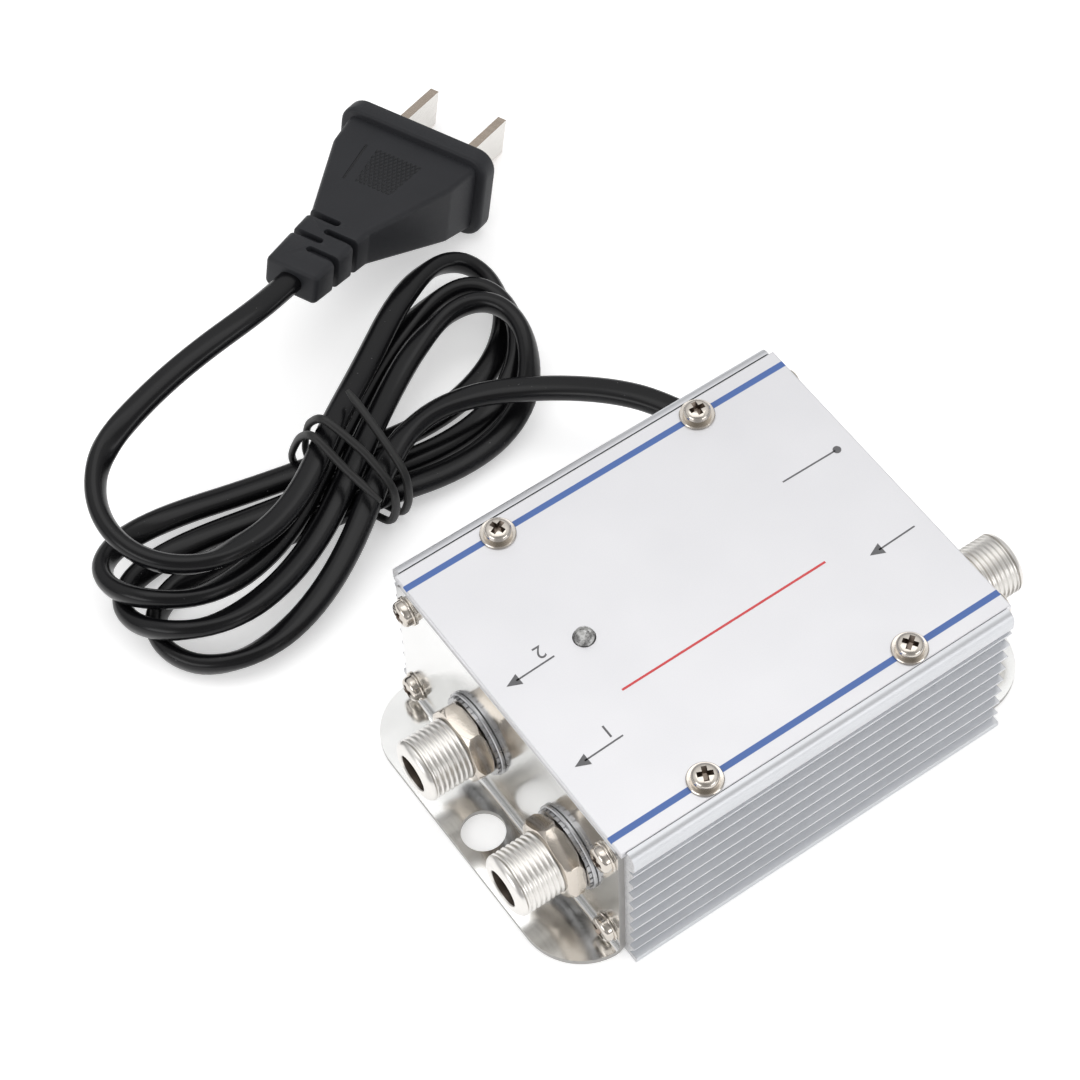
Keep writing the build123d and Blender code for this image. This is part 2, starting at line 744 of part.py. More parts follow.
def plug_body():
    shape = tapered_length(0, relief_end_size, relief_length, relief_neck_size)
    shape += tapered_length(relief_length, relief_neck_size, plug_shoulder_at, plug_shoulder_size)
    shape += tapered_length(plug_shoulder_at, plug_shoulder_size, plug_body_length, plug_back_size)
    flange = RectangleRounded(plug_flange_width, plug_flange_height, plug_flange_corner_radius)
    flange = Pos(0, 0, plug_body_length) * extrude(flange, amount=plug_flange_thickness)
    shape += fillet(flange.edges().group_by(Axis.Z)[0], plug_flange_rounding)
    for index, place in enumerate(relief_slot_places):
        shape -= relief_slot(index, place)
    for side in (-1, 1):
        pocket_size = (blade_thickness + 2 * fit_gap, blade_width + 2 * fit_gap, 2 * (blade_root + fit_gap))
        shape -= Pos(side * blade_spacing / 2, 0, plug_length) * Box(*pocket_size)
    return along(shape, plug_cord_end, plug_heading, plug_sideways)


def plug_blades():
    shapes = []
    blade_length = blade_root + blade_reach
    for side in (-1, 1):
        blade = Box(blade_thickness, blade_width, blade_length)
        blade = chamfer(blade.edges().group_by(Axis.Z)[-1], blade_tip_chamfer)
        blade = Pos(side * blade_spacing / 2, 0, plug_length + (blade_reach - blade_root) / 2) * blade
        shapes.append(along(blade, plug_cord_end, plug_heading, plug_sideways))
    return shapes


# Hank: one cord wound in a fanned figure of eight, crossing itself at the waist.
# A lobe is one half turn, from one crossing of the waist to the next, odd lobes to the left.
lobe_reaches = (36.0, 41.0, 40.0, 38.0, 41.0, 35.5, 40.0, 44.0)
lobe_bellies = (10.0, 8.5, 9.5, 8.5, 9.5, 8.5, 9.5, 5.0)
lobe_tip_sides = (15.0, 12.5, 10.5, 6.5, 5.5, 2.0, -0.3, -4.0)
low_layer = 1.8
middle_layer = 6.0
high_layer = 10.2
knot_shares = (0.0, 0.25, 0.42, 0.58, 0.75, 1.0)
lobe_heights = (
    (14.0, 13.2, 12.8, 12.0, 11.8, high_layer),
    (high_layer, 9.0, 5.3, 2.0, low_layer, low_layer),
    (low_layer, 4.0, 6.3, 9.0, 7.6, middle_layer),
    (middle_layer, 5.0, 7.2, 5.5, low_layer, low_layer),
    (low_layer, 2.2, 3.5, 6.5, 7.0, middle_layer),
    (middle_layer, 7.4, 9.6, 8.6, 3.0, low_layer),
    (low_layer, low_layer, low_layer, low_layer, 3.5, middle_layer),
)
waist_lanes = (1, 1, 1, 0, 0, -1, -1)
lane_pitch = 4.8
waist_place = (-19.8, 59.4)
hank_turn = 11.5
waist_lift = 1.9
waist_lift_reach = 14.0
hank_start_turn = -0.25
tangent_step = 0.03
climb_length_factor = 1.04
gap_step = 0.6
gap_skip = 14.4


def hank_plan(turn):
    """Place along and across the hank's own axis, where turn counts crossings of the waist."""
    lobe = min(max(math.floor(turn + match_tolerance) + 1, 0), len(lobe_reaches) - 1)
    share = turn - (lobe - 1)
    lane = min(max(lobe - 1 if share < 0.5 else lobe, 0), len(waist_lanes) - 1)
    out = abs(math.sin(math.pi * turn))
    along_axis = math.sin(math.pi * turn) * lobe_reaches[lobe]
    across = lane_pitch * waist_lanes[lane] * (1 - out * out) + lobe_tip_sides[lobe] * out * out
    return along_axis, across + lobe_bellies[lobe] * math.sin(2 * math.pi * turn)


def hank_place(turn, height):
    """The same place in the room, lifted a little where the tie draws the strands together."""
    along_axis, across = hank_plan(turn)
    angle = math.radians(hank_turn)
    near = min(1, abs(along_axis) / waist_lift_reach)
    return Vector(
        waist_place[0] + along_axis * math.cos(angle) - across * math.sin(angle),
        waist_place[1] + along_axis * math.sin(angle) + across * math.cos(angle),
        height + waist_lift * (1 - near * near * (3 - 2 * near)),
    )


def hank_knots():
    """The places that the cord passes through, and its direction at each."""
    turns = []
    heights = []
    for lobe, row in enumerate(lobe_heights):
        for share, height in zip(knot_shares[:-1], row):
            if lobe - 1 + share >= hank_start_turn:
                turns.append(lobe - 1 + share)
                heights.append(height)
    turns.append(len(lobe_heights) - 1)
    heights.append(lobe_heights[-1][-1])
    knots = [hank_place(turn, height) for turn, height in zip(turns, heights)]
    slopes = []
    for first, second in zip(knots, knots[1:]):
        run = math.hypot(second.X - first.X, second.Y - first.Y) * climb_length_factor
        slopes.append((second.Z - first.Z) / run)
    climbs = [0]
    for before, after in zip(slopes, slopes[1:]):
        climbs.append(2 * before * after / (before + after) if before * after > 0 else 0)
    climbs.append(0)
    headings = []
    for turn, climb in zip(turns, climbs):
        ahead = hank_place(turn + tangent_step, 0) - hank_place(turn - tangent_step, 0)
        flat = math.hypot(ahead.X, ahead.Y)
        headings.append(Vector(ahead.X / flat, ahead.Y / flat, climb).normalized())
    return knots, headings


def biarc(start, start_heading, end, end_heading):
    """Two tangent arcs between two places with given directions."""
    reach = end - start
    total = start_heading + end_heading
    a = 2 * (1 - start_heading.dot(end_heading))
    b = 2 * reach.dot(total)
    c = -reach.dot(reach)
    step = (-b + math.sqrt(b * b - 4 * a * c)) / (2 * a)
    joint = (start + end + (start_heading - end_heading) * step) * 0.5
    heading = joint_heading(start, start_heading, joint)
    return [arc_from(start, start_heading, joint), arc_from(joint, heading, end)]


def joint_heading(start, heading, end):
    """The direction in which the arc that leaves start along heading arrives at end."""
    chord = (end - start).normalized()
    return chord * (2 * heading.dot(chord)) - heading


def arc_from(start, heading, end):
    """The arc that leaves start along heading and reaches end."""
    chord = end - start
    half_turn = math.atan2(heading.cross(chord).length, heading.dot(chord))
    bow = chord.length / 2 * math.tan(half_turn / 2)
    away = chord * (heading.dot(chord) / chord.dot(chord)) - heading
    return ThreePointArc(start, start + chord * 0.5 - away.normalized() * bow, end)


def hank_path():
    """Straight ends of one cord diameter, and two arcs from each knot to the next."""
    knots, headings = hank_knots()
    first = knots[0] + headings[0] * cord_diameter
    last = knots[-1] + headings[-1] * cord_diameter
    edges = [Line(knots[0], first)]
    places = [first] + knots[1:]
    for index in range(len(places) - 1):
        edges += biarc(places[index], headings[index], places[index + 1], headings[index + 1])
    edges.append(Line(knots[-1], last))
    return Wire([edge for curve in edges for edge in curve.edges()])


def least_gap(path, thickness):
    """The least space that a round cord leaves to itself, measured on points along its middle."""
    count = round(path.length / gap_step)
    spots = []
    for index in range(count + 1):
        spot = path.position_at(index * path.length / count, position_mode=PositionMode.LENGTH)
        spots.append((spot.X, spot.Y, spot.Z))
    apart = math.ceil(gap_skip / gap_step)
    pairs = ((first, second) for first in range(count) for second in range(first + apart, count + 1))
    return min(math.dist(spots[first], spots[second]) for first, second in pairs) - thickness


def cord_tube(path):
    """The round cord along a path."""
    return sweep(Plane(origin=path @ 0, z_dir=path % 0) * Circle(cord_radius), path=path)


# Free stretches of the cord, by their points: the lead out of the housing, and the tail to the plug
lead_points = (
    (17.2, 43.8, 12.9), (13.2, 48.8, 11.6), (8.0, 53.6, 10.4), (1.9, 57.6, 9.6), (-4.9, 59.9, 8.8),
)
tail_points = (
    (-22.8, 84.0, 20.2), (-29.8, 83.2, 20.0), (-37.0, 81.7, 18.9), (-44.0, 80.9, 17.5), (-50.0, 79.0, 16.2),
    (-54.0, 76.0, 15.1), (-56.6, 71.7, 14.2), (-57.4, 66.8, 13.5), (-56.3, 61.9, 12.8), (-53.45, 57.8, 12.2),
)
lead_exit_run = 4.4
lead_hank_run = 5.3
tail_exit_run = 5.0
tail_hank_run = 4.6
arc_share = 0.45


def widest_radii(places):
    """One bend radius for each corner, as large as the shorter of its two runs allows."""
    radii = []
    for before, here, after in zip(places, places[1:], places[2:]):
        half_turn = math.radians((here - before).get_angle(after - here)) / 2
        shorter = min((here - before).length, (after - here).length)
        radii.append(arc_share * shorter / math.tan(half_turn))
    return radii


def free_path(name, points):
    """Straight runs joined by arcs."""
    places = [Vector(*point) for point in points]
    radii = widest_radii(places)
    print(name, "bend radii", [round(radius, 1) for radius in radii])
    return FilletPolyline(*places, radius=radii)


def cord_paths():
    """The lead, the hank and the tail, each starting where the one before it ends."""
    hank = hank_path()
    knots, headings = hank_knots()
    hank_end = knots[-1] + headings[-1] * cord_diameter
    exit_place = Vector(*cord_exit)
    lead = [exit_place, exit_place + Vector(*cord_exit_heading) * lead_exit_run, *lead_points]
    lead += [hank_end + headings[-1] * lead_hank_run, hank_end]
    plug_place = Vector(*plug_cord_end)
    tail = [plug_place, plug_place - Vector(*plug_heading) * tail_exit_run, *tail_points]
    tail += [knots[0] - headings[0] * tail_hank_run, knots[0]]
    return free_path("lead", lead), hank, free_path("tail", tail)


# Twist tie: two wraps of a coated wire round the waist, with two free ends.
# Its points are given along the hank, across it, and up.
tie_radius = 0.65
tie_bend = 2.6
tie_points = (
    (5.2, 6.2, 15.0), (4.4, 1.5, 13.8), (3.4, -4.0, 12.0), (2.4, -8.6, 10.2), (1.6, -9.6, 5.5),
    (1.0, -8.4, 0.9),
    (-1.6, 8.6, 0.9), (-1.9, 9.5, 4.0), (-2.0, 8.1, 11.8), (-2.1, 5.0, 16.1), (-1.9, -2.6, 12.8),
    (-1.5, -8.6, 10.2), (-1.3, -9.2, 5.5), (-1.4, -8.2, 0.9), (-3.9, 9.0, 0.9), (-4.2, 10.3, 4.0),
    (-4.2, 7.3, 11.7), (-4.3, 3.9, 16.0), (-4.2, -2.6, 13.0), (-3.8, -9.5, 10.9),
)


def tie_path():
    angle = math.radians(hank_turn)
    places = [Vector(waist_place[0] + along_axis * math.cos(angle) - across * math.sin(angle),
                     waist_place[1] + along_axis * math.sin(angle) + across * math.cos(angle), height)
              for along_axis, across, height in tie_points]
    return FilletPolyline(*places, radius=[min(tie_bend, radius) for radius in widest_radii(places)])


def twist_tie():
    path = tie_path()
    return sweep(Plane(origin=path @ 0, z_dir=path % 0) * Circle(tie_radius), path=path)


if __name__ == "__main__":
    os.makedirs("parts", exist_ok=True)
    save("housing", housing())
    save("top_cover", top_cover())
    save("output_bracket", bracket(-1, output_socket_ys))
    save("input_bracket", bracket(1, (input_socket_y,)))
    save("cover_screws", *cover_screws())
    save("output_bracket_screws", *bracket_screws(-1))
    save("input_bracket_screws", *bracket_screws(1))
    save_sockets()
    save("status_led", status_led())
    save("led_leads", *led_leads())
    save("circuit_board", circuit_board())
    save("insulating_sheet", insulating_sheet())
    core, bobbin, winding = transformer()
    save("transformer_core", core)
    save("transformer_bobbin", bobbin)
    save("transformer_winding", winding)
    filter_sizes = (filter_capacitor_radius, filter_capacitor_height)
    save("filter_capacitor", can_capacitor(*filter_sizes, filter_capacitor_place_shares))
    save("small_capacitors", *[can_capacitor(small_capacitor_radius, small_capacitor_height, shares)
                               for shares in small_capacitor_place_shares])
    save("rectifier_diodes", *rectifier_diodes())
    save("regulator", regulator())
    save("transistors", *transistors())
    save("splitter_cores", *splitter_cores())
    save("ceramic_capacitors", *ceramic_capacitors())
    save("resistors", *resistors())
    save("socket_wires", *socket_wires())
    save("mains_wires", *mains_wires())
    save("cord_grommet", cord_grommet())
    lead_path, hank_wire, tail_path = cord_paths()
    for name, path in (("cord_lead", lead_path), ("cord_hank", hank_wire), ("cord_tail", tail_path)):
        tube = cord_tube(path)
        save(name, tube)
        expected = math.pi * cord_radius**2 * path.length
        print(name, "length", round(path.length, 1), "volume share", round(tube.volume / expected, 4))
    print("hank's least gap to itself", round(least_gap(hank_wire, cord_diameter), 2))
    save("twist_tie", twist_tie())
    save("plug_body", plug_body())
    save("plug_blades", *plug_blades())
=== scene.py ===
# %% [markdown]
# # A small amplifier box for television leads
#
# The real object is a box of finned extruded aluminium with a flat cover, a bent nickel plate on each
# end, three threaded sockets, a pilot light, and a mains cord that is tied in a hank and ends in a
# flat plug. Its rigid pieces come from a CAD model, which is loaded as a fixed frame. Blender adds
# what a drawing leaves out: the flat cord, the tie, the moulded plug, the inside of the lamp, the
# softer screws, threads, nuts, washers and fin lips, the printed marks, and the finish of every
# surface.
#
# Blender works in metres, and a length in millimetres becomes metres when it is multiplied by `mm`.
# Tables of places and the helpers that start, push, bevel and merge a mesh take millimetres.

# %% Load the fixed frame
import json
import math

import bmesh
import bpy
from mathutils import Matrix, Vector

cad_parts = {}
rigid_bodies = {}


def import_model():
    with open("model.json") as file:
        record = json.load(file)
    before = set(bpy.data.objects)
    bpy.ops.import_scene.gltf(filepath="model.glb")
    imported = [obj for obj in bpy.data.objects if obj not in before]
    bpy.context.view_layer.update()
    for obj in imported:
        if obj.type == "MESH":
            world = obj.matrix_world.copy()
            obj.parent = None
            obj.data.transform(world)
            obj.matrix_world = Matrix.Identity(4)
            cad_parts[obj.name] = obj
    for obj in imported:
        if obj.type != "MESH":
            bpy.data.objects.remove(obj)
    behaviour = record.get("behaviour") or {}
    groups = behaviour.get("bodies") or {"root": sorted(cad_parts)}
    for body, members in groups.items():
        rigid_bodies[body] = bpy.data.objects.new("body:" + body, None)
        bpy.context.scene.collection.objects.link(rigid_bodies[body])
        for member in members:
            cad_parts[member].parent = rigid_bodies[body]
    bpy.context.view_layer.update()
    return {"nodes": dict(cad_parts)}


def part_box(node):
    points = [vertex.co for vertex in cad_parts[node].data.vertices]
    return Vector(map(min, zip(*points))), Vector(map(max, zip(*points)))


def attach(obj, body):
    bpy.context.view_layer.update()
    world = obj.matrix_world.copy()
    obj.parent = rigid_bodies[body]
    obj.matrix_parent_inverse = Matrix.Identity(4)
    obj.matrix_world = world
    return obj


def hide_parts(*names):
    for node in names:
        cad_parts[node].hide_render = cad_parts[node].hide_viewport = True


mm = 0.001
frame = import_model()

# %% [markdown]
# ## The camera
#
# The photograph looks down on the box from its front left corner. A camera could be pointed by a
# tracking constraint, but three angles, a distance and a sideways offset say the same thing in
# numbers, and they were found by fitting the corners of the cover and the plates to the photograph.

# %% Camera at the photograph's angle
azimuth = math.radians(-32.41)
elevation = math.radians(56.50)
roll = math.radians(-3.09)
view_distance = 438.593 * mm
aim_point = Vector((0, 0, 29.1 * mm))
aim_right, aim_up = -22.058 * mm, 6.928 * mm

back = Vector((
    math.sin(azimuth) * math.cos(elevation),
    -math.cos(azimuth) * math.cos(elevation),
    math.sin(elevation),
))
right = Vector((0, 0, 1)).cross(back).normalized()
up = back.cross(right)
right, up = right * math.cos(roll) + up * math.sin(roll), up * math.cos(roll) - right * math.sin(roll)

bpy.ops.object.camera_add()
camera = bpy.context.object
camera.name = "camera"
camera.data.sensor_width = 36
camera.data.lens = 106.67
camera.data.clip_start = 0.01
turned = Matrix((right, up, back)).transposed().to_4x4()
camera.matrix_world = Matrix.Translation(
    aim_point + back * view_distance + right * aim_right + up * aim_up
) @ turned
bpy.context.scene.camera = camera
print("camera at", [round(value / mm, 1) for value in camera.matrix_world.translation], "mm")

# %% [markdown]
# ## Small helpers for modelling by hand
#
# An operator works on whatever is selected, and the loaded nodes start out selected. So each piece
# begins by clearing the selection, and faces or edges are then picked in edit mode by their place.
# A finished piece has its place in its mesh, with its object at the origin.

# %% Helpers for selecting
def start_fresh():
    """Leaves edit mode and selects nothing."""
    if bpy.context.object and bpy.context.object.mode != "OBJECT":
        bpy.ops.object.mode_set(mode="OBJECT")
    bpy.ops.object.select_all(action="DESELECT")


def take(*pieces):
    """Selects these pieces alone, with the first one active."""
    start_fresh()
    for piece in pieces:
        piece.select_set(True)
    bpy.context.view_layer.objects.active = pieces[0]


def named(name):
    """Names the newest piece and its mesh."""
    piece = bpy.context.object
    piece.name = name
    piece.data.name = name
    return piece


def edit(piece):
    """Opens a piece in edit mode, with all of it selected."""
    take(piece)
    bpy.ops.object.mode_set(mode="EDIT")
    bpy.ops.mesh.select_all(action="SELECT")
    return piece


def choose(kind, wanted):
    """In edit mode, selects the VERT, EDGE or FACE parts that wanted() accepts."""
    bpy.ops.mesh.select_all(action="DESELECT")
    bpy.ops.mesh.select_mode(type=kind)
    mesh = bmesh.from_edit_mesh(bpy.context.object.data)
    parts = {"VERT": mesh.verts, "EDGE": mesh.edges, "FACE": mesh.faces}[kind]
    chosen = [part for part in parts if wanted(part)]
    for part in chosen:
        part.select = True
    mesh.select_flush_mode()
    bmesh.update_edit_mesh(bpy.context.object.data)
    return len(chosen)


def middle(edge):
    return (edge.verts[0].co + edge.verts[1].co) / 2


def folds(edge, degrees):
    """Whether two faces meet at an edge by more than this angle."""
    return len(edge.link_faces) == 2 and edge.calc_face_angle(0) > math.radians(degrees)


# %% Helpers for shaping and finishing
def push(rise):
    """Extrudes what is selected upwards."""
    bpy.ops.mesh.extrude_region_move(TRANSFORM_OT_translate={"value": (0, 0, rise * mm)})


def soften(offset, segments, clamp=False):
    """Bevels the edges that are selected."""
    bpy.ops.mesh.bevel(offset=offset * mm, segments=segments, affect="EDGES", clamp_overlap=clamp)


def merge(gap):
    """Merges points of the selected mesh that are nearer to each other than a gap."""
    bpy.ops.mesh.remove_doubles(threshold=gap * mm)


def face_out():
    """In edit mode, merges doubled points and turns every face outwards."""
    bpy.ops.mesh.select_all(action="SELECT")
    merge(0.002)
    bpy.ops.mesh.normals_make_consistent(inside=False)


def apply_place(piece):
    """Moves an object's place, turn and size into its mesh."""
    take(piece)
    bpy.ops.object.transform_apply(location=True, rotation=True, scale=True)


def join(*pieces):
    """Makes one piece of several, which keeps the first one's name."""
    take(*pieces)
    if len(pieces) > 1:
        bpy.ops.object.join()


def cut(piece, tool, operation="DIFFERENCE"):
    """Cuts a piece with a tool, by a boolean modifier that is applied at once."""
    take(piece)
    modifier = piece.modifiers.new("cut", "BOOLEAN")
    modifier.operation, modifier.object, modifier.solver = operation, tool, "EXACT"
    bpy.ops.object.modifier_apply(modifier=modifier.name)
    bpy.data.objects.remove(tool)


def settle(piece, sharp_degrees):
    """Applies the place, turns the faces outwards and shades the rounded parts smooth."""
    apply_place(piece)
    edit(piece)
    face_out()
    bpy.ops.object.mode_set(mode="OBJECT")
    bpy.ops.object.shade_smooth_by_angle(angle=math.radians(sharp_degrees))
    print(piece.name, len(piece.data.polygons), "faces")

# %% [markdown]
# ## Writing a finish as arithmetic
#
# A finish is a graph of nodes, and a graph built node by node is hard to read. The class below wraps
# one output of a node. Plus, minus, times and the rest then add the Math nodes by themselves, and any
# other node comes from one method that takes its type, its settings and its inputs.

# %% One small class for shader graphs
class Wire:
    """An output of a node, which can be used in arithmetic."""

    def __init__(self, tree, output=None):
        self.tree = tree
        self.output = output

    def node(self, kind, settings=None, inputs=None, output=0):
        """Adds a node of this kind and gives one of its outputs."""
        made = self.tree.nodes.new("ShaderNode" + kind)
        for name, value in (settings or {}).items():
            if name == "stops":
                ramp = made.color_ramp
                ramp.elements[0].position, ramp.elements[0].color = value[0][0], (*value[0][1], 1)
                ramp.elements[1].position, ramp.elements[1].color = value[-1][0], (*value[-1][1], 1)
                for place, color in value[1:-1]:
                    ramp.elements.new(place).color = (*color, 1)
            else:
                setattr(made, name, value)
        for name, value in (inputs or {}).items():
            if isinstance(value, Wire):
                self.tree.links.new(value.output, made.inputs[name])
            else:
                made.inputs[name].default_value = value
        return Wire(self.tree, made.outputs[output])

    def into(self, shader, socket):
        self.tree.links.new(self.output, shader.inputs[socket])

    def maths(self, operation, *values, clamp=False):
        settings = {"operation": operation, "use_clamp": clamp}
        return self.node("Math", settings, dict(enumerate(values)))

    def __add__(self, other):
        return self.maths("ADD", self, other)

    def __sub__(self, other):
        return self.maths("SUBTRACT", self, other)

    def __rsub__(self, other):
        return self.maths("SUBTRACT", other, self)

    def __mul__(self, other):
        return self.maths("MULTIPLY", self, other)

    def __truediv__(self, other):
        return self.maths("DIVIDE", self, other)

    def __abs__(self):
        return self.maths("ABSOLUTE", self)

    __radd__ = __add__
    __rmul__ = __mul__

    def above(self, level, blur):
        """0 below the level, 1 above it, with an edge as wide as blur."""
        return self.maths("ADD", (self - level) / blur, 0.5, clamp=True)

    def between(self, low, high, blur):
        return self.above(low, blur) * (1 - self.above(high, blur))

    def mix(self, low, high):
        """Where this mask is 0 the low colour, where it is 1 the high one."""
        colors = [color if isinstance(color, Wire) else (*color, 1) for color in (low, high)]
        return self.node("Mix", {"data_type": "RGBA"}, {0: self, 6: colors[0], 7: colors[1]}, 2)

    def span(self, low, high):
        """Spreads a value from 0 to 1 over low to high."""
        return self * (high - low) + low

    def along(self, way):
        """How far a vector reaches in one direction."""
        return self.node("VectorMath", {"operation": "DOT_PRODUCT"}, {0: self, 1: tuple(way)}, 1)

# %% Patterns that the finishes share
def object_place(wire, scale=(1, 1, 1)):
    """Coordinates in metres on the object, stretched for a pattern that has a grain."""
    place = wire.node("TexCoord", output="Object")
    return wire.node("Mapping", inputs={"Vector": place, "Scale": scale})


def axes(wire, kind="Object"):
    """The x, y and z of a point on the object in metres, or of the way that its face looks."""
    split = wire.node("SeparateXYZ", inputs={0: wire.node("TexCoord", output=kind)}).output.node
    return [Wire(wire.tree, output) for output in split.outputs]


def grain(wire, size, detail=2.0, place=None):
    """Noise from 0 to 1 whose blotches are about as large as size."""
    place = place or object_place(wire)
    return wire.node("TexNoise", inputs={"Vector": place, "Scale": 1 / size, "Detail": detail})


def relief(wire, height, depth):
    """A normal that shows a height from 0 to 1 as relief of that depth."""
    return wire.node("Bump", inputs={"Height": height, "Distance": depth, "Strength": 1.0})


def new_finish(name, constants=None):
    """A material, its shader with these sockets set, and a wire to build its graph from."""
    material = bpy.data.materials.new(name)
    material.use_nodes = True
    shader = material.node_tree.nodes["Principled BSDF"]
    for socket, value in (constants or {}).items():
        shader.inputs[socket].default_value = value
    return material, shader, Wire(material.node_tree)


def paint(shader, color, roughness, normal):
    """Feeds the three sockets that nearly every finish varies."""
    for socket, value in (("Base Color", color), ("Roughness", roughness), ("Normal", normal)):
        value.into(shader, socket)


def wear(piece, material):
    """Gives a piece, or a CAD node by its name, this finish."""
    piece = frame["nodes"][piece] if isinstance(piece, str) else piece
    if not piece.material_slots:
        piece.data.materials.append(material)
    for slot in piece.material_slots:
        slot.material = material
    dressed.add(piece.name)


dressed = set()
metal = {"Metallic": 1.0}

# %% [markdown]
# ## The flat cord's route
#
# The cord is one length of flat twin lead, about 0.72 m, and the photograph shows all of it: a short
# lead out of the box, a hank wound in a fanned figure of eight, and a tail to the plug. Drawing it as
# straight runs with bends would look like wire. A spline through a few control points bends as a
# springy lead does, so the points below are the corners that steer one smooth curve. The hank's
# points come from a formula: each lobe swings out to its own reach and comes back through the waist,
# and its heights say where it climbs over the turns that already lie there.

# %% The hank's turns
lobe_reaches = (36.0, 41.0, 40.0, 38.0, 41.0, 35.5, 40.0, 44.0)
lobe_bellies = (10.0, 8.5, 9.5, 8.5, 9.5, 8.5, 9.5, 5.0)
lobe_tip_sides = (15.0, 12.5, 10.5, 6.5, 5.5, 2.0, -0.3, -4.0)
low, mid, high = 1.8, 6.0, 10.2
knot_shares = (0.0, 0.25, 0.42, 0.58, 0.75, 1.0)
lobe_heights = (
    (14.0, 13.2, 12.8, 12.0, 11.8, high), (high, 9.0, 5.3, 2.0, low, low),
    (low, 4.0, 6.3, 9.0, 7.6, mid), (mid, 5.0, 7.2, 5.5, low, low),
    (low, 2.2, 3.5, 6.5, 7.0, mid), (mid, 7.4, 9.6, 8.6, 3.0, low), (low, low, low, low, 3.5, mid),
)
waist_lanes = (1, 1, 1, 0, 0, -1, -1)
last_lane = len(waist_lanes) - 1
lane_pitch = 4.8
waist_place = (-19.8, 59.4)
hank_turn = math.radians(11.5)
waist_lift, waist_lift_reach = 1.9, 14.0
a_hair = 1e-6


def hank_frame(along, across, height):
    """A point given along the hank, across it and up, in metres on the object."""
    return mm * Vector((
        waist_place[0] + along * math.cos(hank_turn) - across * math.sin(hank_turn),
        waist_place[1] + along * math.sin(hank_turn) + across * math.cos(hank_turn),
        height,
    ))


def eased(share):
    """Goes from 0 to 1 with a soft start and a soft end."""
    share = min(1, max(0, share))
    return share * share * (3 - 2 * share)


def hank_point(turn):
    """The cord's place after this many crossings of the waist."""
    lobe = min(max(math.floor(turn + a_hair) + 1, 0), last_lane + 1)
    share = turn - (lobe - 1)
    lane = min(max(lobe - 1 if share < 0.5 else lobe, 0), last_lane)
    swing = math.sin(math.pi * turn)
    along = swing * lobe_reaches[lobe]
    across = lane_pitch * waist_lanes[lane] * (1 - swing * swing) + lobe_tip_sides[lobe] * swing * swing
    across += lobe_bellies[lobe] * math.sin(2 * math.pi * turn)
    heights = lobe_heights[lobe] if lobe <= last_lane else (mid,) * len(knot_shares)
    knot = max(index for index, start in enumerate(knot_shares[:-1]) if start <= share + a_hair)
    part = (share - knot_shares[knot]) / (knot_shares[knot + 1] - knot_shares[knot])
    height = heights[knot] + (heights[knot + 1] - heights[knot]) * part
    return hank_frame(along, across, height + waist_lift * (1 - eased(abs(along) / waist_lift_reach)))


points_per_lobe, lead_in, lead_in_steps = 10, 0.25, 3
turns = [lead_in / lead_in_steps * step - lead_in for step in range(lead_in_steps)]
turns += [step / points_per_lobe for step in range(last_lane * points_per_lobe + 1)]
hank_points = [hank_point(turn) for turn in turns]
print("hank:", len(hank_points), "control points over", turns[-1] - turns[0], "lobes")

# %% The whole route, from the box to the plug
cord_exit = Vector((22.15, 34.89, 13.5)) * mm
exit_lean = math.radians(24)
exit_heading = Vector((-math.sin(exit_lean), math.cos(exit_lean), 0))
lead_points = (
    (17.2, 43.8, 12.9), (13.2, 48.8, 11.6), (8.0, 53.6, 10.4), (1.9, 57.6, 9.6), (-4.9, 59.9, 8.8),
    (-11.15, 59.18, 7.9), (-15.73, 56.51, 7.9),
)
tail_points = (
    (-49.25, 55.05, 11.8), (-53.45, 57.8, 12.2), (-56.3, 61.9, 12.8), (-57.4, 66.8, 13.5),
    (-56.6, 71.7, 14.2), (-54.0, 76.0, 15.1), (-50.0, 78.8, 16.2), (-44.0, 80.5, 17.5),
    (-37.0, 81.7, 18.9), (-29.8, 82.4, 20.0), (-22.8, 83.2, 20.2),
)
plug_yaw, plug_pitch = math.radians(25), math.radians(16.08)
plug_cord_end = Vector((-12.7, 86.9, 17.84)) * mm
plug_heading = Vector((
    math.cos(plug_yaw) * math.cos(plug_pitch),
    math.sin(plug_yaw) * math.cos(plug_pitch),
    -math.sin(plug_pitch),
))
plug_sideways = Vector((-math.sin(plug_yaw), math.cos(plug_yaw), 0))
plug_up = plug_heading.cross(plug_sideways)
straight_out, straight_in = 4.4, 5.0

route = [cord_exit, cord_exit + exit_heading * straight_out * mm]
route += [Vector(point) * mm for point in lead_points]
route += reversed(hank_points)
route += [Vector(point) * mm for point in tail_points]
route += [plug_cord_end - plug_heading * straight_in * mm, plug_cord_end]
print("route:", len(route), "control points")

# %% [markdown]
# ## From the route to a flat cord
#
# Blender can bevel a curve into a round tube by itself, but this cord is flat, and it lies flat on
# its runs and stands on edge round its tight bends, because flat lead only bends easily across its
# thin way. So the smooth spline is read back as points, and a rounded section is carried along them,
# rolled by an angle that follows how sharply the cord turns on the table.

